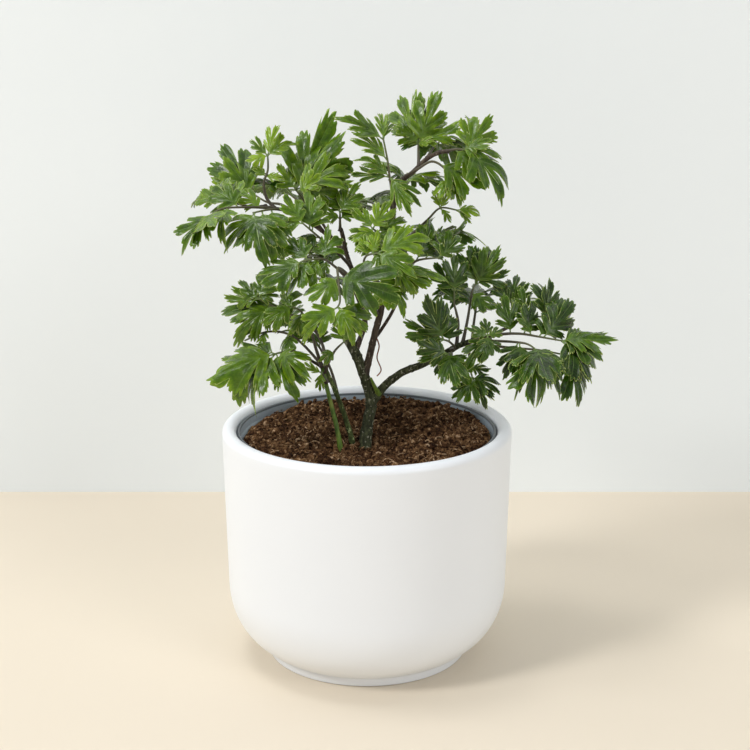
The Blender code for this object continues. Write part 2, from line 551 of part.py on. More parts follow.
def blade_surface(pose, width_margin=0.0):
    """Points of a leaflet's mid-surface, left and right edge at each station of the midrib.

    p = base + along (s + rake w) L + normal (4 arch s (1 - s) L - droop w) + across w, where w is
    the half width at station s.
    """
    reach = pose.tip - pose.base
    length = reach.length
    along = reach.normalized()
    normal = (pose.facing - along * pose.facing.dot(along)).normalized()
    across = normal.cross(along)
    points = []
    for station, share in zip(BLADE_STATIONS, BLADE_HALF_WIDTHS):
        half = share * length + width_margin if share else BLADE_FOOT_HALF_WIDTH
        middle = pose.base + along * (station * length)
        middle += normal * (4 * BLADE_ARCH * station * (1 - station) * length)
        lobe = half if share else 0.0
        for side in (-1, 1):
            points.append(middle + across * (side * half) + along * (BLADE_RAKE * lobe)
                          - normal * (SIDE_DROOP * lobe))
    return points, normal


def growth_tree(pose, whole):
    """A search tree of the leaflet with air around it, whole or from a third of its length on."""
    points, normal = blade_surface(pose, CLEARANCE)
    if not whole:
        points[:2] = [foot.lerp(widest, 0.5) for foot, widest in zip(points[:2], points[2:4])]
    half = BLADE_THICKNESS / 2 + CLEARANCE
    count = len(points)
    shell = [point + normal * half for point in points] + [point - normal * half for point in points]
    faces = [(0, 1, count + 1, count), (count - 2, count - 1, 2 * count - 1, 2 * count - 2)]
    for k in range(0, count - 2, 2):
        faces += [(k, k + 1, k + 3, k + 2), (count + k, count + k + 2, count + k + 3, count + k + 1),
                  (k, k + 2, count + k + 2, count + k), (k + 1, count + k + 1, count + k + 3, k + 3)]
    return BVHTree.FromPolygons(shell, faces)


def turned_pose(pose, yaw, pitch, size):
    """The leaflet turned about its facing by yaw and about its width by pitch, and scaled."""
    reach = pose.tip - pose.base
    across = pose.facing.cross(reach).normalized()
    turn = Quaternion(pose.facing, math.radians(yaw)) @ Quaternion(across, math.radians(pitch))
    return Pose(pose.base, pose.base + (turn @ reach) * size, turn @ pose.facing)


def grow_leaflets(obstacles):
    """Poses of every leaf's leaflets.

    A leaflet that would touch a stem, a stalk or a leaflet grown before it turns away by the first
    of GROWTH_TURNS that clears them, and if none does it stays smaller; one with no room is left out.
    """
    chance = random.Random(7)
    grown = {}
    placed = []
    for leaf in LEAVES:
        grown[leaf.name] = []
        wanted = listed_leaflets(leaf) if leaf.leaflets else feathered_leaflets(leaf)
        for base, tip in wanted:
            scatter = Vector([chance.uniform(-FACING_SCATTER, FACING_SCATTER) for _ in range(3)])
            wish = Pose(base, tip, (facing_vector(leaf.facing) + scatter).normalized())
            pose = first_clear_pose(leaf.name, wish, obstacles, placed)
            if pose:
                grown[leaf.name].append(pose)
                placed.append((leaf.name, growth_tree(pose, True), growth_tree(pose, False)))
    return grown


def first_clear_pose(name, wish, obstacles, placed):
    for size in GROWTH_SIZES:
        for yaw, pitch in GROWTH_TURNS:
            pose = turned_pose(wish, yaw, pitch, size)
            if (pose.tip - pose.base).length < SHORTEST_LEAFLET:
                return None
            whole = growth_tree(pose, True)
            blade = growth_tree(pose, False)
            if any((blade if owner == name else whole).overlap(tree) for owner, tree in obstacles):
                continue
            if any(blade.overlap(other_blade) if owner == name else whole.overlap(other)
                   for owner, other, other_blade in placed):
                continue
            return pose
    return None


# ---------------------------------------------------------------- leaf solids

def leaflet_object(name, pose, collection):
    """A grid shaped by blade_surface, with Solidify for its thickness."""
    bm = bmesh.new()
    rows = len(BLADE_STATIONS)
    bmesh.ops.create_grid(bm, x_segments=1, y_segments=rows - 1, size=1.0)
    points, _ = blade_surface(pose)
    order = sorted(bm.verts, key=lambda vertex: (round(vertex.co.y, 3), vertex.co.x))
    for vertex, point in zip(order, points):
        vertex.co = point * MM
    mesh = bpy.data.meshes.new(name)
    bm.to_mesh(mesh)
    bm.free()
    item = add_object(name, mesh, collection)
    shell = item.modifiers.new("thickness", "SOLIDIFY")
    shell.thickness = BLADE_THICKNESS * MM
    shell.offset = 0.0
    return item


def keep_largest_body(mesh):
    """Deletes what a cut has left loose beside the main body."""
    bm = bmesh.new()
    bm.from_mesh(mesh)
    unseen = set(bm.verts)
    bodies = []
    while unseen:
        front = [unseen.pop()]
        body = list(front)
        while front:
            vertex = front.pop()
            for edge in vertex.link_edges:
                other = edge.other_vert(vertex)
                if other in unseen:
                    unseen.remove(other)
                    front.append(other)
                    body.append(other)
        bodies.append(body)
    bodies.sort(key=len)
    loose = [vertex for body in bodies[:-1] for vertex in body]
    bmesh.ops.delete(bm, geom=loose, context="VERTS")
    bm.to_mesh(mesh)
    bm.free()


def build_leaf(leaf, poses, sleeves, stalk, collection, cutters):
    """The stalk joined with its leaflets, cut back from the stem it grows from."""
    leaflets = bpy.data.collections.new(f"{leaf.name}_leaflets")
    cutters.children.link(leaflets)
    for index, pose in enumerate(poses):
        leaflet_object(f"{leaf.name}_leaflet_{index + 1}", pose, leaflets)
    blank = add_object(f"{leaf.name}_stalk", stalk, cutters)
    add_boolean(blank, "UNION", leaflets)
    add_boolean(blank, "DIFFERENCE", sleeves[leaf.stem])
    mesh = evaluated_mesh(blank)
    keep_largest_body(mesh)
    remove_object(blank)
    for item in list(leaflets.objects):
        remove_object(item)
    bpy.data.collections.remove(leaflets)
    return add_object(leaf.name, mesh, collection, "leaf")


def main():
    clear_scene()
    parts = new_collection("potted_aralia")
    cutters = new_collection("cutters")
    build_planter(parts)
    build_nursery_pot(parts, cutters)
    soil = build_soil(parts)
    stems, sleeves = build_stems(parts, cutters)
    for stem in STEMS:
        if stem.line[0][2] < SOIL_MIDDLE_HEIGHT:
            add_boolean(soil, "DIFFERENCE", sleeves[stem.name])
    stalks = {leaf.name: tube_mesh(line_points(leaf.line, 1), STALK_RADII, 0) for leaf in LEAVES}
    obstacles = [(name, mesh_tree(sleeve.data)) for name, sleeve in sleeves.items()]
    obstacles += [(name, mesh_tree(stalk)) for name, stalk in stalks.items()]
    grown = grow_leaflets(obstacles)
    for leaf in LEAVES:
        build_leaf(leaf, grown[leaf.name], sleeves, stalks[leaf.name], parts, cutters)


main()
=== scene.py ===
"""The look of a potted aralia: a young shrub with lobed, finely toothed leaflets, in a nursery pot
that stands inside a white glazed planter.

Lengths are in millimetres until a mesh is made, where MM turns them into metres. The origin is the
middle of the planter's underside, +Z is up and the plant's face looks along -Y, as in the frame.
"""
import itertools
import math
import random
from collections import namedtuple

import bpy
import numpy as np
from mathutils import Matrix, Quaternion, Vector
from mathutils.kdtree import KDTree


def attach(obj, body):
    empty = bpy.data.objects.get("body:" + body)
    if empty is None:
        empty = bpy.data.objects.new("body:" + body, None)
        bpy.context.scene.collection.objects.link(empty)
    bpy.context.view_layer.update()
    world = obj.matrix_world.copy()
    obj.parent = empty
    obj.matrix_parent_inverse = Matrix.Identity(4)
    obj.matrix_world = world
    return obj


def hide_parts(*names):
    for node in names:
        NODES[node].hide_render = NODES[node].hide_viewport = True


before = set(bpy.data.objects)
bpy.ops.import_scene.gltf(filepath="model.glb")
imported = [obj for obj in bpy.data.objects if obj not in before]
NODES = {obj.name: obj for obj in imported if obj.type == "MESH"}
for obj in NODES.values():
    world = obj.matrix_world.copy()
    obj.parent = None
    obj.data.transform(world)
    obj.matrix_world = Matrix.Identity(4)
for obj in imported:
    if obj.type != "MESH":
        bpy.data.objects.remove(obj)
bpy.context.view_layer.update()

MM = 0.001

# ---------------------------------------------------------------- what the frame holds
# Planter and nursery pot
PLANTER_HEIGHT = 119.6
RIM_RADIUS, RIM_INNER_RADIUS, RIM_ROLL_HEIGHT = 72.3, 65.3, 3.6
SHOULDER_RADIUS, SHOULDER_HEIGHT = 70.6, 40.0
SHOULDER_REACH, SHOULDER_DROP, SHOULDER_POWER = 45.4, 41.0, 2.286
INNER_SHOULDER_REACH, INNER_SHOULDER_POWER = 24.0, 3.0
FOOT_RADIUS, FOOT_HEIGHT = 51.0, 4.4
WALL, FLOOR_HEIGHT = 6.2, 8.0
POT_LIP_RADIUS, POT_LIP_HEIGHT, POT_LIP_DROP = 64.7, 117.0, 5.0
POT_TOP_RADIUS, POT_FOOT_RADIUS, POT_BASE_RADIUS, POT_WALL = 63.4, 44.0, 40.0, 1.4
POT_BASE_HEIGHT = 8.3
DRAIN_HOLE_RADIUS, DRAIN_HOLE_RING, DRAIN_HOLES = 4.0, 27.0, 5
SOIL_RADIUS, SOIL_EDGE_HEIGHT, SOIL_MIDDLE_HEIGHT, SOIL_BACK_RISE = 61.7, 110.8, 108.4, 3.0
SOIL_FOOT_HEIGHT, SOIL_BEVEL_HEIGHT, SOIL_SIDE_HEIGHT = 10.3, 13.0, 106.0

# Stems: name, bark, radii at foot and tip, and the line
Stem = namedtuple("Stem", "name bark radii line")
STEMS = (
    Stem("trunk", "bark", (3.1, 2.4),
         ((-1, -8, 84), (-1, -8, 110), (0.5, -4, 121), (2, 0, 131), (-2, 0, 146), (-6, 1, 156),
          (-10, 2, 163))),
    Stem("right_branch", "bark", (2.2, 1.1),
         ((1.4, -1.2, 129), (5, 0, 134), (10, 0, 140), (18, 0, 146), (27, -1, 150), (38, -2, 156),
          (47, -3, 161), (56, 0, 163), (64, 5, 164))),
    Stem("leader_shoot", "twig_bark", (1.8, 1.0),
         ((-1, 0, 145), (2, 0, 157), (4, 0, 166), (7, 0, 178), (9, 2, 195), (11, 5, 211), (13, 5, 225),
          (13, 4, 236), (17, 3, 241), (22, 1, 245), (28, 0, 251), (34, -3, 255), (39, -5, 256))),
    Stem("inner_shoot", "twig_bark", (1.4, 1.0),
         ((-6, 1, 156), (-3, 4, 163), (-1, 5, 171), (-4, 5, 183), (-7, 6, 195), (-10, 8, 204),
          (-12, 7, 214), (-13, 6, 217))),
    Stem("thin_shoot", "twig_bark", (0.9, 0.7),
         ((3, 0, 162), (7, 2, 167), (12, 3, 175), (17, 3, 186), (19, 2, 196))),
    Stem("left_twig", "twig_bark", (1.1, 0.8),
         ((-10, 8, 204), (-15, 13, 208), (-22, 15, 214), (-30, 13, 220), (-38, 9, 225), (-50, 4, 228))),
    Stem("green_side_stem", "green_stem", (1.3, 1.0),
         ((-13, -14, 84), (-13, -14, 108), (-15, -11, 121), (-18, -8, 133), (-21, -8, 146),
          (-22, -9, 152))),
    Stem("dark_side_stem", "bark", (1.5, 1.1),
         ((-7, -7, 84), (-7, -7, 108), (-10, -4, 121), (-16, -3, 138), (-21, -3, 149))),
    Stem("axil_bud", "green_stem", (1.3, 0.5), ((6, -1, 135), (4, -3, 139), (2, -4, 144))),
    Stem("dry_thread", "twig_bark", (0.35, 0.3),
         ((4, 0, 165), (6, -2, 160), (5, -3, 154), (7, -3, 148), (5, -4, 145))),
)

# Leaves: name, the stem each grows from, the way it faces, its stalk's line and its leaflets as
# (station on the line, right, up); the ones with no list are feathered.
Leaf = namedtuple("Leaf", "name stem facing line leaflets")
LEAVES = (
    # upper left, over the planter's edge
    Leaf("twig_end_leaf", "left_twig", (50, -30),
         ((-49, 5, 228), (-55, -2, 229), (-61, -7, 231), (-69, -12, 234)),
         ((3, -16, -1), (3, -9, 8), (2.5, -9, 9), (2, -4, 9), (2.3, -11, -5))),
    Leaf("long_left_leaf", "left_twig", (55, -30),
         ((-38, 9, 225), (-44, -2, 228), (-55, -16, 231), (-67, -26, 232), (-73, -30, 229)),
         ((4, -19, -9), (3.6, -20, -12), (3.5, -4, -14), (2.8, -3, -11), (2.4, -13, 3), (1.6, -11, 2))),
    Leaf("hanging_left_leaf", "left_twig", (45, -15),
         ((-31, 13, 220), (-36, -2, 226), (-44, -16, 230), (-53, -26, 230)),
         ((3, -15, -21), (2.8, -17, -16), (2.9, -4, -19), (2.5, 1, -18), (2.1, 2, -16))),
    Leaf("upright_left_leaf", "left_twig", (35, 0),
         ((-45, 6, 227), (-49, 8, 232), (-50, 8, 239), (-48, 9, 245), (-48, 10, 252)),
         ((4, -11, -4), (4, 5, 13), (4, 12, 6), (2.5, 9, -1), (2.5, -7, 5), (4, -8, 8))),
    Leaf("back_left_leaf", "left_twig", (40, -20),
         ((-34, 11, 223), (-42, 16, 227), (-49, 17, 228), (-56, 18, 232)),
         ((3, -18, 19), (3, -19, 9), (3, -13, 13), (2.6, -8, 7))),
    # upper middle
    Leaf("upper_middle_leaf", "left_twig", (40, 0),
         ((-22, 15, 214), (-27, 16, 222), (-31, 15, 229), (-35, 14, 235)),
         ((3, -9, 11), (3, 4, 21), (3, 7, 16), (3, 17, 28), (3, 29, 13), (3, 25, 19))),
    Leaf("upper_arching_leaf", "left_twig", (35, 10),
         ((-16, 13, 209), (-21, 8, 218), (-27, 4, 228), (-33, 2, 236)),
         ((3, 24, 8), (3, 21, 2), (2.9, 13, 4))),
    # crown
    Leaf("crown_leaf", "leader_shoot", (35, 0),
         ((12, 5, 218), (12, 1, 227), (12, 0, 236), (11, 0, 243), (10, 0, 251), (8, 0, 261)),
         ((3, -20, 1), (3, -15, 8), (4, -18, 11), (5, -23, 7), (5, -6, 11), (5, 3, 12), (3, 11, -18),
          (3, 19, -7))),
    Leaf("crown_fan_leaf", "leader_shoot", (35, 0),
         ((25, 0, 248), (25, 6, 252), (25, 12, 254), (25, 14, 257)),
         ((3, -9, 23), (3, 1, 24), (3, 8, 22), (3, 15, 18), (3, 21, 9), (3, 14, 0), (3, -10, 13),
          (3, -8, 4))),
    Leaf("upper_right_leaf", "leader_shoot", (35, 15),
         ((38, -5, 256), (42, -6, 257), (47, -7, 257)),
         ((2, 4, 17), (2, 14, 10), (2, 20, -23), (1, 13, -15), (1.5, 20, -5), (2, 13, 1))),
    Leaf("upper_right_low_leaf", "leader_shoot", (35, 15),
         ((19, 2, 243), (24, -3, 247), (31, -4, 251), (37, -6, 248), (39, -8, 243)),
         ((2.5, 22, -14), (4, 9, -10), (4, 10, 3), (4, 1, -11))),
    Leaf("right_sprig_leaf", "leader_shoot", (35, 15),
         ((10, 4, 206), (16, 12, 207), (21, 16, 211), (30, 14, 220), (36, 12, 226), (44, 12, 225)),
         ((5, 13, -1), (5, 9, -5), (5, 2, -6), (4, -4, 8), (4, 2, 7), (4, 5, -7))),
    Leaf("middle_leaf", "leader_shoot", (35, 5),
         ((11, 5, 211), (8, -3, 215), (5, -9, 218), (3, -12, 220)),
         ((3, -10, 9), (3, 5, 12), (3, -12, -5), (3, -9, -13), (2, 14, 6), (2, 12, -8), (2.4, -3, -15))),
    Leaf("middle_right_leaf", "thin_shoot", (30, 20),
         ((18, 2, 195), (24, 0, 202), (35, -2, 204)),
         ((2, 6, 12), (2, 12, 8), (1, 8, 18), (1.4, 14, 16))),
    # centre, toward the front
    Leaf("centre_front_leaf", "inner_shoot", (30, 0),
         ((-2, 5, 176), (-5, -6, 186), (-8, -20, 198), (-13, -36, 206), (-13, -44, 203), (-12, -50, 194),
          (-13, -52, 191)),
         ((6, 8, -14), (6, -17, -12), (6, 15, -10), (4, 31, -11), (4, -14, -12))),
    Leaf("centre_left_leaf", "inner_shoot", (45, -20),
         ((-6, 6, 190), (-12, -8, 198), (-18, -22, 206), (-22, -30, 209), (-30, -36, 209)),
         ((4, -18, -13), (4, -13, -5), (3.6, -9, 8), (3.5, -12, -15), (3, -9, -11), (2.5, -3, 12),
          (2.2, -2, -8))),
    Leaf("centre_top_left_leaf", "inner_shoot", (45, -10),
         ((-8, 7, 198), (-14, -1, 206), (-21, -10, 214), (-30, -20, 224)),
         ((3, -14, 0), (3, -15, -11), (3, -9, 9), (2.6, -1, 16), (2.5, 4, 13), (2.2, -12, -5),
          (2.2, 12, -6))),
    Leaf("centre_top_leaf", "inner_shoot", (40, 5),
         ((-13, 6, 216), (-13, 5, 220), (-13, 4, 225)),
         ((2, -13, 12), (2, -7, 14), (2, 3, 14), (2, 9, 8), (1.4, -10, 2), (1.4, 10, 3))),
    Leaf("centre_right_leaf", "leader_shoot", (40, 15),
         ((8, 1, 186), (4, -10, 196), (-1, -20, 204), (0, -28, 210), (5, -32, 212)),
         ((4, 26, 6), (4, 16, 1), (3.6, 8, -10), (3.5, 3, 9), (3, -2, 9), (4, 19, -10))),
    Leaf("centre_right_low_leaf", "leader_shoot", (40, 20),
         ((6, 0, 174), (3, -8, 182), (2, -14, 188), (6, -20, 198), (12, -24, 202)),
         ((4, 26, -6), (4, 18, -10), (4, 14, -7), (3, 14, -16), (3.6, 21, 1), (3, 9, -12))),
    # lower left, over the soil
    Leaf("lower_left_leaf", "dark_side_stem", (45, -20),
         ((-20, -3, 148), (-29, -8, 155), (-36, -16, 161), (-44, -22, 161)),
         ((3, -16, 2), (3, -34, -8), (3, -30, -15), (3, -19, -18), (2.9, 5, -16), (2.7, 13, -10))),
    Leaf("lower_left_tip_leaf", "dark_side_stem", (50, -30),
         ((-18, -3, 142), (-25, 2, 152), (-37, 2, 164), (-49, -2, 167), (-60, -4, 163)),
         ((4, -17, -5), (3, -4, -7), (3.3, -10, 1), (2, -3, -9))),
    Leaf("left_fan_leaf", "dark_side_stem", (35, -15),
         ((-20, -3, 146), (-22, 6, 158), (-28, 9, 167), (-39, 5, 175), (-46, 2, 179), (-53, 0, 183)),
         ((5, 8, 17), (5, -8, 9), (5, -17, 0), (4, -27, -11), (4, -19, -15), (3.5, -4, -11), (5, 10, 3),
          (3, 1, 13))),
    Leaf("left_inner_leaf", "green_side_stem", (40, -10),
         ((-22, -9, 151), (-25, -12, 162), (-27, -15, 171), (-31, -20, 181), (-35, -26, 185)),
         ((4, -15, -8), (4, -6, 5), (3.6, -10, -4), (3, 0, -10), (3, -7, -9), (2.5, 8, 2))),
    Leaf("side_stem_leaf", "green_side_stem", (35, 0),
         ((-21, -8, 148), (-16, -11, 159), (-11, -14, 165)),
         ((2, -5, 10), (2, 6, 10), (1, -8, -3))),
    Leaf("side_stem_small_leaf", "green_side_stem", (10, 0),
         ((-20, -8, 143), (-22, -13, 149), (-22, -15, 150)),
         ((2, -1, -10), (1, -9, 5))),
    # right branch
    Leaf("right_up_leaf", "right_branch", (30, 10),
         ((44, -3, 159), (45, 1, 170), (44, 2, 176), (43, 3, 180), (43, 4, 186)),
         ((4, -8, 15), (4, 3, 16), (4, 7, 7), (3, -5, 11))),
    Leaf("right_finger_leaf", "right_branch", (25, 5),
         ((47, -3, 161), (50, 6, 172), (52, 10, 184), (54, 12, 188)),
         ((3, -4, 19), (3, 1, 20), (3, 7, 18), (3, 11, 17), (3, 14, 9), (2, 11, -10))),
    Leaf("right_low_left_leaf", "right_branch", (35, -10),
         ((41, -2, 158), (43, -10, 161), (40, -14, 165), (37, -18, 167)),
         ((3, -7, 17), (3, -18, 9), (3, -16, 1), (3, -14, -5), (2, 0, 12), (3, -12, 16))),
    Leaf("right_front_leaf", "right_branch", (35, 10),
         ((51, -2, 162), (50, -9, 163), (53, -14, 166), (58, -22, 170)),
         ((3, -11, 3), (3, -3, 8), (3, 8, 2), (3, -2, -11), (2.5, -8, -13), (2.5, 9, -7))),
    Leaf("right_bottom_leaf", "right_branch", (35, -10),
         ((38, -2, 156), (41, -10, 157), (41, -16, 160), (39, -22, 161)),
         ((3, -16, 3), (3, -14, -2), (3, -9, -8), (3, 0, -11), (3, 5, -17), (2.5, 9, -13))),
    Leaf("right_drooping_leaf", "right_branch", (35, -5),
         ((50, -1.5, 162), (50, -10, 158), (50, -17, 153), (51, -21, 149)),
         ((3, -9, -9), (3, -3, -14), (3, 5, -13), (3, 11, -8), (2, -11, -3), (2, 10, -2))),
    Leaf("right_upright_leaf", "right_branch", (25, 10),
         ((63, 5, 164), (70, 10, 166), (73, 12, 168), (72, 14, 178)),
         ((3, -11, 10), (3, -3, 16), (3, 4, 15), (3, 9, 8), (3, 8, -3))),
    Leaf("right_far_leaf", "right_branch", (30, 30),
         ((61, 3, 164), (70, 4, 168), (79, 8, 172), (87, 9, 172)),
         ((3, 3, 16), (3, 7, 15), (3, 13, 11), (3, 15, 3), (3, 20, -2), (2, 1, 12))),
    Leaf("right_tip_leaf", "right_branch", (45, 35),
         ((58, 1, 163), (66, -3, 166), (75, -6, 167), (84, -8, 166), (95, -8, 164)),
         ((4, 20, -2), (4, 26, -5), (4, 24, -10), (4, 19, -13), (4, 14, -17), (3, 10, 8), (3.2, 18, 5),
          (2.2, 4, 12), (1.5, 2, 12), (2.6, -7, 10))),
    Leaf("right_hanging_leaf", "right_branch", (40, 20),
         ((54, -1, 163), (60, -8, 164), (70, -14, 165), (77, -18, 165), (81, -20, 163)),
         ((4, 14, -11), (4, 9, -15), (4, 17, -18), (3.9, -6, -24), (4, 2, -24), (2.5, 0, -19),
          (2.4, -8, -14))),
    Leaf("right_low_tip_leaf", "right_branch", (40, 30),
         ((53, -1, 162), (60, 3, 159), (73, 1, 158), (85, 1, 157), (97, 4, 154)),
         ((4, 15, -13), (4, 9, -22), (4, 3, -14), (4, 12, -8))),
    # back of the plant
    Leaf("rear_upper_left_leaf", "left_twig", (62, 175),
         ((-26, 14, 217), (-31, 24, 224), (-39, 37, 229), (-45, 47, 230)), ()),
    Leaf("rear_crown_leaf", "leader_shoot", (58, 170),
         ((29, 0, 252), (31, 9, 254), (34, 22, 256), (36, 33, 254)), ()),
    Leaf("rear_upper_leaf", "leader_shoot", (60, 160),
         ((13, 5, 228), (16, 14, 232), (19, 28, 237), (20, 42, 237)), ()),
    Leaf("rear_middle_leaf", "leader_shoot", (60, 190),
         ((11, 5, 212), (8, 16, 219), (4, 32, 224), (0, 47, 224)), ()),
    Leaf("rear_right_leaf", "leader_shoot", (62, 150),
         ((9, 2, 195), (14, 12, 200), (24, 26, 205), (34, 39, 206)), ()),
    Leaf("rear_left_leaf", "inner_shoot", (60, 200),
         ((-4, 5, 183), (-10, 15, 190), (-21, 29, 197), (-34, 40, 199)), ()),
    Leaf("rear_low_leaf", "trunk", (58, 185),
         ((-8, 2, 160), (-8, 10, 169), (-11, 24, 178), (-12, 40, 181)), ()),
    Leaf("rear_branch_leaf", "right_branch", (60, 170),
         ((52, -1, 162), (53, 9, 167), (55, 22, 174), (56, 36, 176)), ()),
    Leaf("rear_low_left_leaf", "dark_side_stem", (60, 205),
         ((-14, -3, 132), (-18, 7, 145), (-27, 19, 158), (-39, 29, 165)), ()),
)
# Feathered leaves: where their pairs of leaflets stand, how long they are and their degrees to the stalk
FEATHER_STATIONS = (3, 2.4, 1.7)
FEATHER_LENGTHS = (25, 24, 21)
FEATHER_SPREAD = 58
# The frame's plain leaflet: its widest place and its tip, as shares of its length
BLADE_STATIONS = (0.58, 1.0)
BLADE_HALF_WIDTHS = (0.36, 0.07)
BLADE_RAKE = 0.25             # how far a corner lies forward of its station, as a share of the half width
BLADE_ARCH = 0.08
SIDE_DROOP = 0.35
# How the leaflets grew: the draws that scatter their facings, the turns (yaw, pitch) in degrees and
# the sizes that each tried in this order, and the length below which it was left off
GROWTH_SEED = 7
FACING_SCATTER = 0.22
SHORTEST_LEAFLET = 7.5
GROWTH_TURNS = ((0, 0), (0, 8), (0, -8), (8, 0), (-8, 0), (8, 12), (-8, 12), (8, -12), (-8, -12),
                (0, 20), (0, -20), (18, 6), (-18, 6), (18, -8), (-18, -8), (0, 32), (0, -32),
                (26, 18), (-26, 18), (26, -18), (-26, -18))
GROWTH_SIZES = (1.0, 0.86, 0.74, 0.62)
FOUND_WITHIN = 0.5            # how far a leaflet's corners may lie from the frame's own


# ---------------------------------------------------------------- shader maths

class Number:
    """A number that varies over a surface; +, - and * on it add Math nodes."""

    def __init__(self, finish, socket):
        self.finish = finish
        self.socket = socket

    def joined(self, operation, first, second):
        return self.finish.node("ShaderNodeMath", {"operation": operation}, {0: first, 1: second})

    def __add__(self, other):
        return self.joined("ADD", self, other)

    def __sub__(self, other):
        return self.joined("SUBTRACT", self, other)

    def __rsub__(self, other):
        return self.joined("SUBTRACT", other, self)

    def __mul__(self, other):
        return self.joined("MULTIPLY", self, other)

    __radd__ = __add__
    __rmul__ = __mul__


class Finish:
    """A material in the making: node() adds any node, the others are the few used all the time."""

    def __init__(self, name):
        self.material = bpy.data.materials.new(name)
        self.material.use_nodes = True
        self.tree = self.material.node_tree
        self.shader = self.tree.nodes["Principled BSDF"]

    def feed(self, socket, value):
        if isinstance(value, Number):
            self.tree.links.new(value.socket, socket)
        else:
            socket.default_value = value

    def node(self, kind, settings=None, values=None, output=0):
        """A node of this kind, its settings made first, then a value or a link for each socket."""
        item = self.tree.nodes.new(kind)
        for setting, value in (settings or {}).items():
            if setting == "stops":
                self.set_stops(item.color_ramp, value)
            else:
                setattr(item, setting, value)
        for socket, value in (values or {}).items():
            self.feed(item.inputs[socket], value)
        return Number(self, item.outputs[output])

    @staticmethod
    def set_stops(ramp, stops):
        while len(ramp.elements) < len(stops):
            ramp.elements.new(0.5)
        for element, (place, colour) in zip(ramp.elements, stops):
            element.position = place
            element.color = (*colour, 1.0)

    def place(self):
        return self.node("ShaderNodeTexCoord", output="Object")

    def mark(self, name):
        return self.node("ShaderNodeAttribute", {"attribute_name": name}, output="Fac")

    def noise(self, scale, detail=3.0, rough=0.5, where=None):
        """Noise from 0 to 1 with so many lumps to the metre."""
        return self.node("ShaderNodeTexNoise", None,
                         {"Vector": where or self.place(), "Scale": scale, "Detail": detail,
                          "Roughness": rough})

    def stretched(self, scale):
        """The place with its own scale along X, Y and Z: noise on it has so many lumps to the metre."""
        return self.node("ShaderNodeMapping", None, {"Vector": self.place(), "Scale": scale})

    def step(self, value, low, high, start=0.0, end=1.0):
        """From start to end, smoothly, as the value goes from low to high."""
        return self.node("ShaderNodeMapRange", {"interpolation_type": "SMOOTHSTEP"},
                         {"Value": value, "From Min": low, "From Max": high, "To Min": start,
                          "To Max": end})

    def ramp(self, value, *stops):
        return self.node("ShaderNodeValToRGB", {"stops": stops}, {"Fac": value}, output="Color")

    def mix(self, share, first, second, way="MIX"):
        """Colours: first where share is 0, second where it is 1."""
        first, second = ((*c, 1.0) if isinstance(c, tuple) else c for c in (first, second))
        return self.node("ShaderNodeMix", {"data_type": "RGBA", "blend_type": way},
                         {0: share, 6: first, 7: second}, output=2)

    def relief(self, height, distance, strength=1.0):
        """Bumps of this height, in mm, as the surface's normal."""
        bump = self.node("ShaderNodeBump", None,
                         {"Strength": strength, "Distance": distance * MM, "Height": height})
        self.feed(self.shader.inputs["Normal"], bump)

    def surface(self, **values):
        for socket, value in values.items():
            self.feed(self.shader.inputs[socket.replace("_", " ")], value)
        return self.material


def glaze_finish():
    """White glaze: faintly clouded, with a few pinholes and a surface that waves by a hair."""
    f = Finish("white_glaze")
    clouds = f.noise(14, 1.0)
    pinholes = f.step(f.noise(900, 1.0), 0.80, 0.84)
    colour = f.mix(clouds, (0.845, 0.872, 0.905), (0.870, 0.895, 0.925))
    colour = f.mix(pinholes * 0.12, colour, (0.55, 0.52, 0.47))
    f.relief(f.noise(30, 1.0), 0.02, 0.5)
    return f.surface(Base_Color=colour, Roughness=f.step(clouds, 0.2, 0.8, 0.38, 0.44),
                     Coat_Weight=0.12, Coat_Roughness=0.30, Specular_IOR_Level=0.45)


def pot_finish():
    """Pale blue-grey moulded plastic, scuffed, with painted shade darkening the top of its lip under the
    planter's rim, and peat specks toward the soil.
    """
    f = Finish("pot_plastic")
    height = f.node("ShaderNodeSeparateXYZ", None, {0: f.place()}, output="Z")
    specks = f.step(f.noise(520, 3.0, 0.7), 0.60, 0.68) * f.step(height, 0.1172, 0.1120)
    scuffs = f.noise(1.0, 3.0, 0.6, f.stretched((90, 90, 900)))
    colour = f.mix(scuffs, (0.31, 0.375, 0.43), (0.46, 0.54, 0.61))
    colour = f.mix(specks * 0.85, colour, (0.07, 0.04, 0.025))
    # painted shade: the top of the lip is made dark where the gap under the planter's rim lies in shadow
    colour = f.mix(f.step(height, 0.1156, 0.1163) * 0.92, colour, (0.055, 0.065, 0.07))
    f.relief(f.noise(1500, 2.0) * 0.5 + scuffs * 0.3, 0.05)
    return f.surface(Base_Color=colour, Roughness=f.step(scuffs, 0.3, 0.7, 0.36, 0.5))


def peat_finish():
    """Peat and coir: from almost black to tan by each grain's own tone, dull all over."""
    f = Finish("peat_soil")
    tone = f.mark("tone") + f.noise(520, 4.0, 0.8) * 2.2 - 1.09
    colour = f.ramp(tone, (0.0, (0.012, 0.005, 0.003)), (0.3, (0.060, 0.027, 0.013)),
                    (0.55, (0.150, 0.077, 0.034)), (0.78, (0.32, 0.185, 0.090)), (1.0, (0.62, 0.43, 0.27)))
    f.relief(f.noise(1400, 4.0, 0.7), 0.7)
    return f.surface(Base_Color=colour, Roughness=0.95, Specular_IOR_Level=0.08)


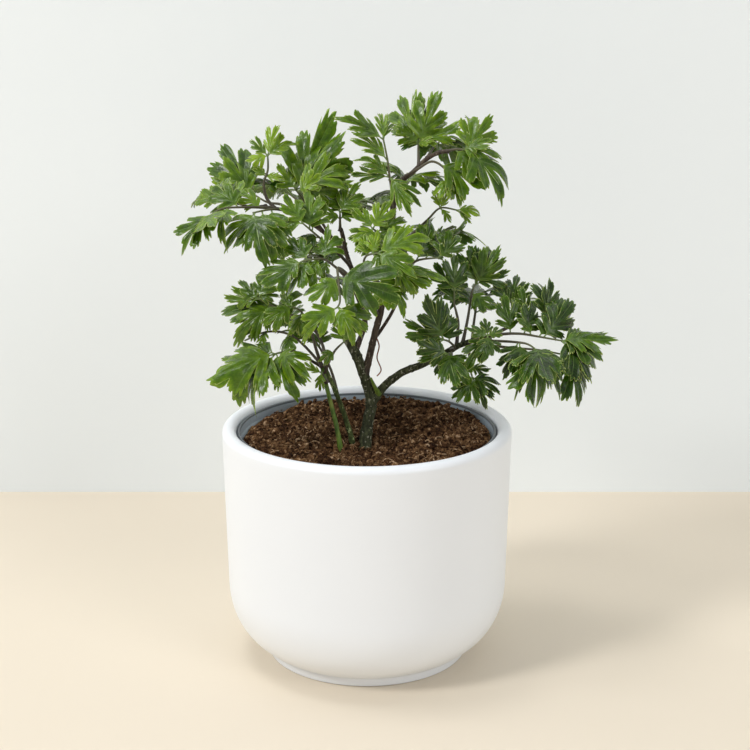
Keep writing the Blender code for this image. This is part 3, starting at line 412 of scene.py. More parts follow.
def bark_finish(name, tint):
    """Young bark: grey-green skin split by fine upright cracks, with pale corky specks, then tinted."""
    f = Finish(name)
    cracks = f.noise(1.0, 4.0, 0.65, f.stretched((900, 900, 230)))
    specks = f.step(f.noise(620, 1.0), 0.60, 0.68)
    colour = f.ramp(cracks, (0.3, (0.010, 0.011, 0.005)), (0.5, (0.045, 0.050, 0.022)),
                    (0.7, (0.115, 0.125, 0.062)))
    colour = f.mix(1.0, f.mix(specks * 0.75, colour, (0.34, 0.33, 0.24)), tint, "MULTIPLY")
    f.relief(cracks + specks * 0.6, 0.5)
    return f.surface(Base_Color=colour, Roughness=0.8, Specular_IOR_Level=0.25)


def twig_finish():
    """Purple-brown twig skin with short pale streaks."""
    f = Finish("twig_bark")
    streaks = f.noise(1.0, 3.0, 0.6, f.stretched((800, 800, 160)))
    lenticels = f.step(f.noise(1.0, 1.0, 0.5, f.stretched((900, 900, 420))), 0.62, 0.70)
    colour = f.ramp(streaks, (0.3, (0.022, 0.013, 0.010)), (0.7, (0.090, 0.066, 0.042)))
    colour = f.mix(lenticels * 0.6, colour, (0.26, 0.21, 0.16))
    f.relief(streaks * 0.6 + lenticels * 0.6, 0.2)
    return f.surface(Base_Color=colour, Roughness=0.6, Specular_IOR_Level=0.3)


def thread_finish():
    """Dried tendril: red-brown, paler in short bands."""
    f = Finish("dry_thread")
    bands = f.noise(1.0, 2.0, 0.5, f.stretched((200, 200, 420)))
    colour = f.mix(bands, (0.11, 0.022, 0.010), (0.30, 0.10, 0.05))
    return f.surface(Base_Color=colour, Roughness=0.7, Specular_IOR_Level=0.3)


def green_stem_finish():
    """Soft green stem, striped along its length, yellower in patches."""
    f = Finish("green_stem")
    stripes = f.noise(1.0, 3.0, 0.5, f.stretched((700, 700, 90)))
    colour = f.ramp(stripes, (0.35, (0.035, 0.080, 0.006)), (0.65, (0.140, 0.225, 0.028)))
    colour = f.mix(f.step(f.noise(150), 0.48, 0.70, 0.0, 0.6), colour, (0.30, 0.32, 0.07))
    f.relief(stripes, 0.15)
    return f.surface(Base_Color=colour, Roughness=0.45, Specular_IOR_Level=0.3)


def stalk_finish():
    """Leaf stalk: dark purple-brown at its foot, fresh green toward its end and in the leaflets."""
    f = Finish("leaf_stalk")
    streaks = f.noise(1.0, 3.0, 0.6, f.stretched((700, 700, 200)))
    young = f.mark("young") + streaks * 0.4 - 0.2
    colour = f.ramp(young, (0.0, (0.045, 0.03, 0.022)), (0.4, (0.09, 0.085, 0.038)),
                    (0.75, (0.16, 0.25, 0.06)), (1.0, (0.27, 0.37, 0.12)))
    f.relief(streaks, 0.1)
    return f.surface(Base_Color=colour, Roughness=0.5)


def leaf_finish():
    """Leaflet: deep green, greyer or yellower from one leaflet to the next, lighter or darker by stem as
    painted light and shade, lighter along the ribs and side veins, with a thin cream edge; paler and duller
    beneath."""
    f = Finish("leaf")
    edge, rib, along, tone, under = (f.mark(name) for name in ("edge", "rib", "along", "tone", "under"))
    mottle = f.noise(260, 4.0, 0.6)
    green = f.ramp(tone + mottle * 0.9 - 0.55 + f.step(edge, 2.4, 0.2) * 0.20,
                   (0.0, (0.008, 0.024, 0.0)), (0.35, (0.031, 0.074, 0.0005)),
                   (0.65, (0.086, 0.165, 0.002)), (1.0, (0.235, 0.360, 0.008)))
    rib_line = f.step(rib, 0.30, 0.05)
    side = f.node("ShaderNodeMath", {"operation": "SINE"}, {0: (along - rib * 1.1) * 5.2})
    side_veins = f.step(side, 0.72, 0.98) * f.step(rib, 3.2, 0.3)
    veins = f.node("ShaderNodeMath", {"operation": "MAXIMUM"}, {0: rib_line * 0.30, 1: side_veins * 0.10})
    colour = f.mix(veins, green, (0.16, 0.26, 0.05))
    cream = f.step(edge + mottle * 0.9 - 0.45, 0.22, 0.03)
    colour = f.mix(cream * 0.7, colour, (0.40, 0.48, 0.12))
    colour = f.mix(under * 0.6, colour, (0.075, 0.135, 0.030))
    f.relief(f.noise(700, 2.0) * 0.4 - veins * 0.8 + f.noise(200, 2.0) * 1.6, 0.28)
    return f.surface(Base_Color=colour, Roughness=0.24, Subsurface_Weight=0.10,
                     Subsurface_Radius=(0.4, 1.0, 0.05), Subsurface_Scale=0.0012, Specular_IOR_Level=0.34)


def stage_finish(name, colour, roughness):
    """Plain and faintly clouded. A face is clear from behind, so that the wall hides nothing there."""
    f = Finish(name)
    grain = f.noise(9, 3.0)
    tinted = f.mix(grain, tuple(0.985 * c for c in colour), colour)
    behind = f.node("ShaderNodeNewGeometry", output="Backfacing")
    return f.surface(Base_Color=tinted, Roughness=roughness, Alpha=1 - behind)


FINISHES = {
    "white_glaze": glaze_finish(), "pot_plastic": pot_finish(), "peat_soil": peat_finish(),
    "bark": bark_finish("bark", (1.0, 1.0, 1.0)), "green_bark": bark_finish("green_bark", (1.35, 1.6, 1.0)),
    "dry_thread": thread_finish(), "twig_bark": twig_finish(), "green_stem": green_stem_finish(),
    "stalk": stalk_finish(), "leaf": leaf_finish(),
}


# ---------------------------------------------------------------- surfaces

Sheet = namedtuple("Sheet", "points faces marks")       # faces: arrays of rows of point numbers


def unit(vectors):
    """Each vector divided by its length."""
    return vectors / np.linalg.norm(vectors, axis=-1, keepdims=True)


def lumps(points, size, seed):
    """Smooth noise from -1 to 1: random numbers on a lattice of this size, eased between its corners
    by 3 t^2 - 2 t^3. The lattice repeats every 32 cells."""
    cells = 32
    lattice = np.random.default_rng(seed).uniform(-1.0, 1.0, (cells, cells, cells))
    cell = np.floor(points / size).astype(int)
    share = points / size - cell
    share = share * share * (3 - 2 * share)
    total = 0.0
    for corner in itertools.product((0, 1), repeat=3):
        at = (cell + corner) % cells
        weight = np.prod(np.where(corner, share, 1 - share), axis=-1)
        total = total + weight * lattice[at[..., 0], at[..., 1], at[..., 2]]
    return total


def grid_faces(rows, columns, wrap=False):
    """Four-sided faces of a grid whose points are numbered row by row; wrap joins last column to first."""
    row, column = np.meshgrid(np.arange(rows - 1), np.arange(columns - (not wrap)), indexing="ij")
    after = (column + 1) % columns
    return np.stack([row * columns + column, row * columns + after,
                     (row + 1) * columns + after, (row + 1) * columns + column], axis=-1).reshape(-1, 4)


def outward(sheet):
    """The same closed sheet with its faces turned outward, told by the sign of the volume inside."""
    volume = 0.0
    for block in sheet.faces:
        first = sheet.points[block[:, 0]]
        for k in range(1, block.shape[1] - 1):
            volume += np.einsum("ij,ij->i", first,
                                np.cross(sheet.points[block[:, k]], sheet.points[block[:, k + 1]])).sum()
    return sheet if volume > 0 else sheet._replace(faces=[block[:, ::-1] for block in sheet.faces])


def joined(sheets):
    """Several sheets as one."""
    starts = np.cumsum([0] + [len(sheet.points) for sheet in sheets])
    faces = [block + start for sheet, start in zip(sheets, starts) for block in sheet.faces]
    marks = {key: np.concatenate([sheet.marks[key] for sheet in sheets]) for key in sheets[0].marks}
    return Sheet(np.concatenate([sheet.points for sheet in sheets]), faces, marks)


def piece(name, sheet, finish, slot, *nodes):
    """A mesh object from a sheet, which stands for these nodes of the frame."""
    mesh = bpy.data.meshes.new(name)
    sizes = np.concatenate([np.full(len(block), block.shape[1]) for block in sheet.faces])
    corners = np.concatenate([block.ravel() for block in sheet.faces])
    mesh.vertices.add(len(sheet.points))
    mesh.vertices.foreach_set("co", (sheet.points * MM).astype(np.float32).ravel())
    mesh.loops.add(len(corners))
    mesh.loops.foreach_set("vertex_index", corners.astype(np.int32))
    mesh.polygons.add(len(sizes))
    mesh.polygons.foreach_set("loop_start", np.concatenate(([0], np.cumsum(sizes)[:-1])).astype(np.int32))
    mesh.update(calc_edges=True)
    for key, values in sheet.marks.items():
        mark = mesh.attributes.new(key, "FLOAT", "POINT")
        mark.data.foreach_set("value", np.asarray(values, np.float32))
    mesh.materials.append(FINISHES[finish])
    mesh.shade_smooth()
    item = bpy.data.objects.new(name, mesh)
    bpy.context.scene.collection.objects.link(item)
    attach(item, "root")
    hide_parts(*nodes)
    return item


def turned(profile, segments):
    """A profile of (radius, height) carried round Z: (r cos a, r sin a, h). It starts and ends on the
    axis, where each end is one point."""
    rings = np.array(profile[1:-1], float)
    angle = np.arange(segments) * math.tau / segments
    points = np.stack([rings[:, :1] * np.cos(angle), rings[:, :1] * np.sin(angle),
                       np.repeat(rings[:, 1:], segments, axis=1)], axis=-1).reshape(-1, 3)
    poles = np.array([(0, 0, profile[0][1]), (0, 0, profile[-1][1])], float)
    return closed_rings(points, len(rings), segments, poles)


def closed_rings(points, rows, columns, poles, **marks):
    """Rings of points with a pole at each end, closed to a body."""
    count = rows * columns
    ring = np.arange(columns)
    after = (ring + 1) % columns
    first = np.stack([np.full(columns, count), after, ring], axis=-1)
    last = np.stack([np.full(columns, count + 1), count - columns + ring, count - columns + after], axis=-1)
    faces = [grid_faces(rows, columns, True), first, last]
    return outward(Sheet(np.concatenate([points, poles]), faces, marks))


def tube(path, radii, sides, reference, skin=None):
    """Rings of radius R round each point of a path, square to it: p + R (u cos a + v sin a), with
    u and v built from the path's direction and a reference direction it never takes. The skin is
    R's own share of change for each ring and side. Ends are closed with a point."""
    path = np.asarray(path, float)
    along = unit(np.gradient(path, axis=0))
    across = unit(np.cross(along, reference))
    rise = np.cross(across, along)
    angle = np.arange(sides) * math.tau / sides
    radius = np.asarray(radii, float)[:, None] * (np.ones(sides) if skin is None else skin)
    points = path[:, None] + radius[..., None] * (across[:, None] * np.cos(angle)[:, None]
                                                  + rise[:, None] * np.sin(angle)[:, None])
    poles = np.stack([path[0] - along[0] * radii[0] * 0.4, path[-1] + along[-1] * radii[-1] * 0.4])
    return closed_rings(points.reshape(-1, 3), len(path), sides, poles)


def on_line(line, station):
    """Catmull-Rom curve through the line's points; a whole station is one of them."""
    last = len(line) - 1
    index = min(int(station), last - 1)
    t = station - index
    before, start, end, after = (Vector(line[min(max(index + k, 0), last)]) for k in (-1, 0, 1, 2))
    return 0.5 * (2 * start + (end - before) * t
                  + (2 * before - 5 * start + 4 * end - after) * t ** 2
                  + (3 * start - before - 3 * end + after) * t ** 3)


def curve_points(line, steps):
    """The curve's points, steps of them between two of the line's own, as an array."""
    return np.array([on_line(line, k / steps)[:] for k in range(steps * (len(line) - 1) + 1)])


# ---------------------------------------------------------------- planter and nursery pot

def shoulder(radius, reach, height, drop, power, angles):
    """Profile r = radius - reach + reach cos(a)^(2/power), h = height - drop sin(a)^(2/power)."""
    angles = np.radians(angles)
    return list(zip(radius - reach + reach * np.clip(np.cos(angles), 0, 1) ** (2 / power),
                    height - drop * np.sin(angles) ** (2 / power)))


def wall_run(start, end, steps):
    """A straight run of a profile in equal steps, its ends left out."""
    share = np.arange(1, steps)[:, None] / steps
    return [tuple(p) for p in np.array(start) + (np.array(end) - np.array(start)) * share]


def build_planter():
    """A profile turned round Z: from the floor's middle up the inner shoulder and wall, over the rim's
    half ellipse and down the outer wall, the outer shoulder and the foot ring to the underside."""
    inner_foot = SHOULDER_RADIUS - WALL
    inner = shoulder(inner_foot, INNER_SHOULDER_REACH, SHOULDER_HEIGHT, SHOULDER_HEIGHT - FLOOR_HEIGHT,
                     INNER_SHOULDER_POWER, np.linspace(90, 0, 22))
    outer = [p for p in shoulder(SHOULDER_RADIUS, SHOULDER_REACH, SHOULDER_HEIGHT, SHOULDER_DROP,
                                 SHOULDER_POWER, np.linspace(0, 75, 50)) if p[0] > FOOT_RADIUS + 0.1]
    middle, half = (RIM_INNER_RADIUS + RIM_RADIUS) / 2, (RIM_RADIUS - RIM_INNER_RADIUS) / 2
    turn = np.linspace(0, math.pi, 25)
    rim_foot = PLANTER_HEIGHT - RIM_ROLL_HEIGHT
    rim = list(zip(middle - half * np.cos(turn), rim_foot + RIM_ROLL_HEIGHT * np.sin(turn)))
    foot = [(FOOT_RADIUS + 0.1, FOOT_HEIGHT + 0.3), (FOOT_RADIUS, FOOT_HEIGHT), (FOOT_RADIUS, 1.1),
            (FOOT_RADIUS - 0.3, 0.35), (FOOT_RADIUS - 1.1, 0.0), (FOOT_RADIUS - 3.2, 0.0),
            (FOOT_RADIUS - 4.0, 0.6), (FOOT_RADIUS - 5.0, 0.9)]
    profile = ([(0, FLOOR_HEIGHT), (20, FLOOR_HEIGHT)] + inner + wall_run(inner[-1], rim[0], 12) + rim
               + wall_run(rim[-1], outer[0], 20) + outer + foot + [(20, 0.9), (0, 0.9)])
    piece("planter_glazed", turned(profile, 224), "white_glaze", "white_glaze", "planter")


def build_nursery_pot():
    """A profile turned round Z: floor, tapering wall and lip, inside and then outside. The drain holes
    are cut by turned pins and the cut is applied."""
    base, lip_foot = POT_BASE_HEIGHT, POT_LIP_HEIGHT - POT_LIP_DROP
    inside = [(0, base + POT_WALL), (POT_BASE_RADIUS - 0.6, base + POT_WALL),
              (POT_FOOT_RADIUS - POT_WALL, base + 3.8)]
    wall = (POT_TOP_RADIUS - POT_WALL, lip_foot - 1.0)
    lip_inside = POT_LIP_RADIUS - POT_WALL
    lip_edge = [(lip_inside, lip_foot + 0.4), (lip_inside, POT_LIP_HEIGHT - 0.5),
                (lip_inside + 0.25, POT_LIP_HEIGHT - 0.12), (lip_inside + 0.55, POT_LIP_HEIGHT),
                (POT_LIP_RADIUS - 0.4, POT_LIP_HEIGHT), (POT_LIP_RADIUS, POT_LIP_HEIGHT - 0.4),
                (POT_LIP_RADIUS, lip_foot + 0.3), (POT_LIP_RADIUS - 0.3, lip_foot)]
    outside = (POT_TOP_RADIUS, lip_foot - 1.0)
    profile = (inside + wall_run(inside[-1], wall, 16) + [wall] + lip_edge + [outside]
               + wall_run(outside, (POT_FOOT_RADIUS, base + 2.8), 16)
               + [(POT_FOOT_RADIUS, base + 2.8), (POT_FOOT_RADIUS - 1.6, base + 0.7),
                  (POT_BASE_RADIUS, base), (0, base)])
    pot = piece("nursery_pot_moulded", turned(profile, 180), "pot_plastic", "pot_plastic", "nursery_pot")
    pin = turned([(0, base - 3), (DRAIN_HOLE_RADIUS, base - 3), (DRAIN_HOLE_RADIUS, base + 3),
                  (0, base + 3)], 24)
    pins = []
    for index in range(DRAIN_HOLES):
        angle = math.tau * (index + 0.5) / DRAIN_HOLES
        way = np.array([math.cos(angle), math.sin(angle), 0])
        pins.append(pin._replace(points=pin.points + DRAIN_HOLE_RING * way))
    cutter = piece("drain_pins", joined(pins), "pot_plastic", "pot_plastic")
    cut = pot.modifiers.new("drain holes", "BOOLEAN")
    cut.operation, cut.solver, cut.object = "DIFFERENCE", "EXACT", cutter
    bpy.context.view_layer.update()
    graph = bpy.context.evaluated_depsgraph_get()
    whole = bpy.data.meshes.new_from_object(pot.evaluated_get(graph), depsgraph=graph)
    pot.modifiers.clear()
    pot.data = whole
    whole.set_sharp_from_angle(angle=math.radians(40))
    bpy.data.objects.remove(cutter, do_unlink=True)


# ---------------------------------------------------------------- soil

def soil_level(x, y):
    """Height of the soil: a shallow dish, higher at the back, as in the frame."""
    radius, angle = np.hypot(x, y), np.arctan2(y, x)
    share = radius / POT_TOP_RADIUS
    relief = (share * (1.1 * np.cos(angle - 0.7) + 0.7 * np.sin(2 * angle + 0.6))
              + 0.5 * share * np.sin(5 * angle + 3 * share)
              + SOIL_BACK_RISE * share * (0.5 + 0.5 * np.sin(angle)))
    rise = SOIL_EDGE_HEIGHT - SOIL_MIDDLE_HEIGHT
    return SOIL_MIDDLE_HEIGHT + rise * (radius / SOIL_RADIUS) ** 2 + relief


def soil_surface(x, y):
    """The level with clods on it, and a heap at the stems: noise of five sizes, of which the second
    and third are folded at zero. The clods get lower at the edge."""
    flat = np.stack([x, y, 0 * x + 7.0], axis=-1)
    clods = (2.0 * lumps(flat, 9.0, 3) + 2.6 * np.abs(lumps(flat, 4.6, 4))
             + 1.5 * np.abs(lumps(flat, 2.3, 5)) + 0.7 * lumps(flat, 1.2, 6) + 0.45 * lumps(flat, 0.6, 8)
             - 0.5)
    heap = 1.6 * np.exp(-((x - 1) ** 2 + (y + 2) ** 2) / 90.0)
    return soil_level(x, y) + clods * np.clip((SOIL_RADIUS + 1 - np.hypot(x, y)) / 3.0, 0.4, 1.0) + heap


def build_soil():
    """A turned body whose top is a polar grid lifted to the soil's surface."""
    rings, segments = 150, 420
    angle = np.arange(segments) * math.tau / segments
    radius = SOIL_RADIUS * ((np.arange(rings) + 1) / rings) ** 0.8
    x, y = radius[:, None] * np.cos(angle), radius[:, None] * np.sin(angle)
    top = np.stack([x, y, soil_surface(x, y)], axis=-1)
    side = np.array([(SOIL_RADIUS - 0.6, SOIL_SIDE_HEIGHT), (POT_FOOT_RADIUS - 2.0, SOIL_BEVEL_HEIGHT),
                     (POT_BASE_RADIUS - POT_WALL, SOIL_FOOT_HEIGHT)])
    walls = np.stack([side[:, :1] * np.cos(angle), side[:, :1] * np.sin(angle),
                      np.repeat(side[:, 1:], segments, axis=1)], axis=-1)
    points = np.concatenate([top, walls]).reshape(-1, 3)
    middle = np.zeros(1)
    poles = np.array([(0, 0, soil_surface(middle, middle)[0]), (0, 0, SOIL_FOOT_HEIGHT)])
    body = closed_rings(points, rings + len(side), segments, poles)
    tone = (0.34 + 0.18 * lumps(body.points, 7.0, 11) + 0.30 * np.abs(lumps(body.points, 2.1, 5))
            + 0.16 * lumps(body.points, 1.2, 6))
    piece("soil_bed", body._replace(marks={"tone": tone}), "peat_soil", "peat_soil", "soil")


def scattered_spots(count, seed):
    """Random spots on the soil, even over its area: the radius goes by the root of a random share."""
    chance = np.random.default_rng(seed)
    radius = (SOIL_RADIUS - 1.6) * np.sqrt(chance.uniform(0.0, 1.0, count))
    angle = chance.uniform(0, math.tau, count)
    return radius * np.cos(angle), radius * np.sin(angle), chance


def random_turns(count, chance):
    """Rotation matrices from random unit quaternions."""
    w, x, y, z = unit(chance.normal(size=(count, 4))).T
    return np.stack([
        np.stack([1 - 2 * (y * y + z * z), 2 * (x * y - z * w), 2 * (x * z + y * w)], axis=-1),
        np.stack([2 * (x * y + z * w), 1 - 2 * (x * x + z * z), 2 * (y * z - x * w)], axis=-1),
        np.stack([2 * (x * z - y * w), 2 * (y * z + x * w), 1 - 2 * (x * x + y * y)], axis=-1)], axis=1)


def build_crumbs():
    """Crumbs of peat: small balls of 4 rings of 6 points and a pole at each end, each point pushed in
    or out at random, each ball stretched, turned and set a third of its size above the soil."""
    count, rings, segments = 2600, 4, 6
    x, y, chance = scattered_spots(count, 21)
    tilt = np.pi * (np.arange(rings) + 0.75) / (rings + 0.5)
    angle = np.arange(segments) * math.tau / segments
    ball = np.stack([np.sin(tilt)[:, None] * np.cos(angle), np.sin(tilt)[:, None] * np.sin(angle),
                     np.repeat(np.cos(tilt)[:, None], segments, axis=1)], axis=-1).reshape(-1, 3)
    unit_ball = closed_rings(ball, rings, segments, np.array([(0, 0, 1.0), (0, 0, -1.0)]))
    size = 0.32 + 1.5 * chance.uniform(0, 1, count) ** 3.5
    rough = chance.uniform(0.68, 1.25, (count, len(unit_ball.points), 1))
    stretch = chance.uniform(0.55, 1.3, (count, 1, 3))
    shaped = unit_ball.points * rough * stretch * size[:, None, None]
    shaped = np.einsum("nij,npj->npi", random_turns(count, chance), shaped)
    spots = np.stack([x, y, soil_surface(x, y) + size * 0.35], axis=-1)
    points = (shaped + spots[:, None]).reshape(-1, 3)
    starts = np.arange(count)[:, None, None] * len(unit_ball.points)
    faces = [(block[None] + starts).reshape(-1, block.shape[1]) for block in unit_ball.faces]
    tone = np.repeat(0.10 + 0.75 * chance.beta(1.6, 2.2, count), len(unit_ball.points))
    crumbs = piece("soil_crumbs", Sheet(points, faces, {"tone": tone}), "peat_soil", "peat_soil", "soil")
    crumbs.data.set_sharp_from_angle(angle=math.radians(50))


def build_fibres():
    """Coir fibres: thin four-sided tubes along short bent paths that lie across the soil."""
    sheets = []
    count, rings = 900, 6
    xs, ys, chance = scattered_spots(count, 33)
    share = np.linspace(-0.5, 0.5, rings)
    for x, y in zip(xs, ys):
        turn, bend = chance.uniform(0, math.pi), chance.normal(0, 0.3)
        length = 1.5 + 5.5 * chance.beta(1.2, 3.0)
        along = np.array([math.cos(turn), math.sin(turn)])
        aside = np.array([-along[1], along[0]])
        bow = bend * (4 * share[:, None] ** 2 - 1)
        flat = np.array([x, y]) + length * (share[:, None] * along + bow * aside)
        reach = np.hypot(flat[:, 0], flat[:, 1])
        flat *= np.minimum(1.0, (SOIL_RADIUS - 1.2) / reach)[:, None]
        lift = 0.5 + chance.uniform(0, 1.3) * (1 - (2 * share) ** 2)
        height = soil_surface(flat[:, 0], flat[:, 1]).mean() + lift + chance.normal(0, 0.25) * share * 4
        path = np.column_stack([flat, height])
        fibre = tube(path, np.full(rings, chance.uniform(0.10, 0.40)), 4, (0.0, 0.0, 1.0))
        tone = np.full(len(fibre.points), chance.uniform(0.25, 0.95))
        sheets.append(fibre._replace(marks={"tone": tone}))
    piece("soil_fibres", joined(sheets), "peat_soil", "peat_soil", "soil")


# ---------------------------------------------------------------- stems

THIN_STEM_RADIUS = 1.0                        # a stem no thicker than this is plain and smooth
FLARE_HEIGHT = 108.0                          # stems in the soil are widest here
STEM_REFERENCE = (0.0, 1.0, 0.0)              # no stem runs along Y


def stem_sheet(stem):
    """A tube along the stem's line. Its skin is noise stretched along the stem, with a low ring
    every few millimetres where a leaf once sat; a stem in the soil widens toward it by
    1 + 0.35 exp(-height / 3.5), and any other toward its foot by 1 + 0.30 exp(-length / 3)."""
    path = curve_points(stem.line, 14)
    length = np.concatenate(([0], np.cumsum(np.linalg.norm(np.diff(path, axis=0), axis=1))))
    share = length / length[-1]
    radii = stem.radii[0] + (stem.radii[1] - stem.radii[0]) * share
    if stem.radii[0] <= THIN_STEM_RADIUS:
        return tube(path, radii, 8, STEM_REFERENCE)
    sides = 24
    angle = np.arange(sides) * math.tau / sides
    spacing = 7.0 + 2.0 * stem.radii[0]
    scars = np.exp(-((length % spacing - spacing / 2) / 0.55) ** 2) * (stem.bark != "green_stem")
    radii = radii * (1 + 0.13 * scars)
    if stem.line[0][2] < SOIL_MIDDLE_HEIGHT:
        radii = radii * (1 + 0.35 * np.exp(-np.clip(path[:, 2] - FLARE_HEIGHT, 0, None) / 3.5))
    else:
        radii = radii * (1 + 0.30 * np.exp(-length / 3.0))
    ring = np.stack(np.broadcast_arrays(np.cos(angle) * 1.6, np.sin(angle) * 1.6,
                                        length[:, None] * 0.28), axis=-1)
    seed = len(stem.name)
    skin = 1 + 0.07 * lumps(ring + 9, 0.9, seed) + 0.045 * lumps(ring * 2.6 + 5, 0.8, seed + 1)
    return tube(path, radii, sides, STEM_REFERENCE, skin)


# Stems with a skin of their own; the others have their bark's
STEM_SKINS = {"dark_side_stem": "green_bark", "dry_thread": "dry_thread"}


def build_stems():
    """One piece for each stem, with its own skin where it has one."""
    for stem in STEMS:
        finish = STEM_SKINS.get(stem.name, stem.bark)
        piece(f"{stem.name}_skin", stem_sheet(stem), finish, stem.bark, stem.name)


# ---------------------------------------------------------------- where the leaflets are

Pose = namedtuple("Pose", "base tip facing")


def facing_vector(facing):
    """The way a leaf faces, from degrees above level and degrees turned from the front to the right."""
    up, turn = (math.radians(angle) for angle in facing)
    return Vector((math.sin(turn) * math.cos(up), -math.cos(turn) * math.cos(up), math.sin(up)))


def on_stalk(line, station):
    """Point of the frame's stalk, which runs straight from each point of its line to the next."""
    index = min(int(station), len(line) - 2)
    return Vector(line[index]).lerp(Vector(line[index + 1]), station - index)


def wanted_leaflets(leaf):
    """Station, base and tip of each leaflet: listed ones lie in the plane the leaf faces out of,
    feathered ones stand in pairs at FEATHER_SPREAD to the stalk, with one at its end."""
    normal = facing_vector(leaf.facing)
    for station, right, up in leaf.leaflets:
        base = on_stalk(leaf.line, station)
        depth = -(right * normal.x + up * normal.z) / normal.y
        yield station, base, base + Vector((right, depth, up))
    if leaf.leaflets:
        return
    for place, (station, length) in enumerate(zip(FEATHER_STATIONS, FEATHER_LENGTHS)):
        base = on_stalk(leaf.line, station)
        along = (base - on_stalk(leaf.line, station - 0.1)).normalized()
        turns = (0, FEATHER_SPREAD, -FEATHER_SPREAD) if place == 0 else (FEATHER_SPREAD, -FEATHER_SPREAD)
        for turn in turns:
            way = Quaternion(normal, math.radians(turn)) @ along
            yield station, base, base + length * (way - 0.25 * normal).normalized()


def turned_pose(pose, yaw, pitch, size):
    """The leaflet turned about its facing by yaw and about its width by pitch, and scaled."""
    reach = pose.tip - pose.base
    across = pose.facing.cross(reach).normalized()
    turn = Quaternion(pose.facing, math.radians(yaw)) @ Quaternion(across, math.radians(pitch))
    return Pose(pose.base, pose.base + (turn @ reach) * size, turn @ pose.facing)


def blade_axes(pose):
    """Length and the directions along, across and out of the leaflet."""
    reach = pose.tip - pose.base
    along = reach.normalized()
    normal = (pose.facing - along * pose.facing.dot(along)).normalized()
    return reach.length, along, normal.cross(along), normal


def blade_corners(pose):
    """The widest points and the tip's corners of the frame's plain leaflet."""
    length, along, across, normal = blade_axes(pose)
    for station, share in zip(BLADE_STATIONS, BLADE_HALF_WIDTHS):
        half = share * length
        middle = pose.base + along * (station * length + BLADE_RAKE * half) \
            + normal * (4 * BLADE_ARCH * station * (1 - station) * length - SIDE_DROOP * half)
        yield middle + across * half
        yield middle - across * half


def found_pose(wish, tree):
    """The way this leaflet grew in the frame: the first of the turns and sizes whose corners are there."""
    for size, (yaw, pitch) in itertools.product(GROWTH_SIZES, GROWTH_TURNS):
        pose = turned_pose(wish, yaw, pitch, size)
        if (pose.tip - pose.base).length < SHORTEST_LEAFLET:
            return None
        if all(tree.find(corner)[2] < FOUND_WITHIN for corner in blade_corners(pose)):
            return pose
    return None


def grown_leaflets():
    """Name of each leaf -> (station, pose) of the leaflets it has in the frame."""
    chance = random.Random(GROWTH_SEED)
    grown = {}
    for leaf in LEAVES:
        vertices = NODES[leaf.name].data.vertices
        tree = KDTree(len(vertices))
        for index, vertex in enumerate(vertices):
            tree.insert(vertex.co / MM, index)
        tree.balance()
        grown[leaf.name] = []
        for station, base, tip in wanted_leaflets(leaf):
            scatter = Vector([chance.uniform(-FACING_SCATTER, FACING_SCATTER) for _ in range(3)])
            wish = Pose(base, tip, (facing_vector(leaf.facing) + scatter).normalized())
            pose = found_pose(wish, tree)
            if pose:
                grown[leaf.name].append((station, pose))
    return grown


# ---------------------------------------------------------------- leaflets

# One side of a leaflet is laid out by u: 0 is its middle lobe's rib, 1 and 2 those of its side
# lobes, and FOOT_U is its foot. Each u has a ray from the midrib, whose start, angle and reach
# come from these tables.
FOOT_U = 2.62
RAY_U = (0.0, 1.0, 2.0, FOOT_U)
RAY_STARTS = (0.34, 0.26, 0.15, 0.08)         # along the midrib, as a share of the length
RAY_ANGLES = (0.0, 35.0, 66.0, 82.0)          # degrees from the midrib
RAY_REACHES = (0.66, 0.62, 0.45, 0.035)       # as a share of the length
LOBE_W = (0.0, 0.06, 0.12, 0.18, 0.24, 0.29, 0.34, 0.39, 0.44, 0.5)       # |u - lobe|
LOBE_FILL = (1.0, 0.97, 0.86, 0.94, 0.92, 0.78, 0.80, 0.64, 0.28, 0.0)    # bay between lobes 0, tip 1
TEETH, NOTCHES = (3, 4, 6), (2, 5)            # places in LOBE_W
SIZE_RANGE = ((0.9, 0.78, 0.6), (1.1, 1.08, 1.08))          # of each side's three lobes
BAY_RANGE, SHALLOWEST, DEEPEST = (0.35, 1.35), 0.7, 0.12    # share of the leaf's own bays, and its ends
ROWS = np.array([0.0, 0.34, 0.6, 0.8, 0.92, 1.0])           # along each ray, from the midrib to the edge
RIB_SPACING = math.radians(28)                # between neighbouring ribs, for distances from a rib
BLADE_HALF_THICKNESS = 0.16


def ray_places():
    """u of every column on one side, from the middle out: each lobe's own places, then the foot."""
    offsets = np.array(LOBE_W)
    places = [lobe + side * offsets for lobe in (0, 1, 2) for side in (-1, 1)]
    places = np.unique(np.round(np.concatenate(places + [np.array([2.46, 2.54, FOOT_U])]), 3))
    return places[(places >= 0) & (places <= FOOT_U) & (places != 2.5)]


SIDE_U = ray_places()
SIGNED_U = np.concatenate([-SIDE_U[:0:-1], SIDE_U])      # one column for the midrib, then both sides


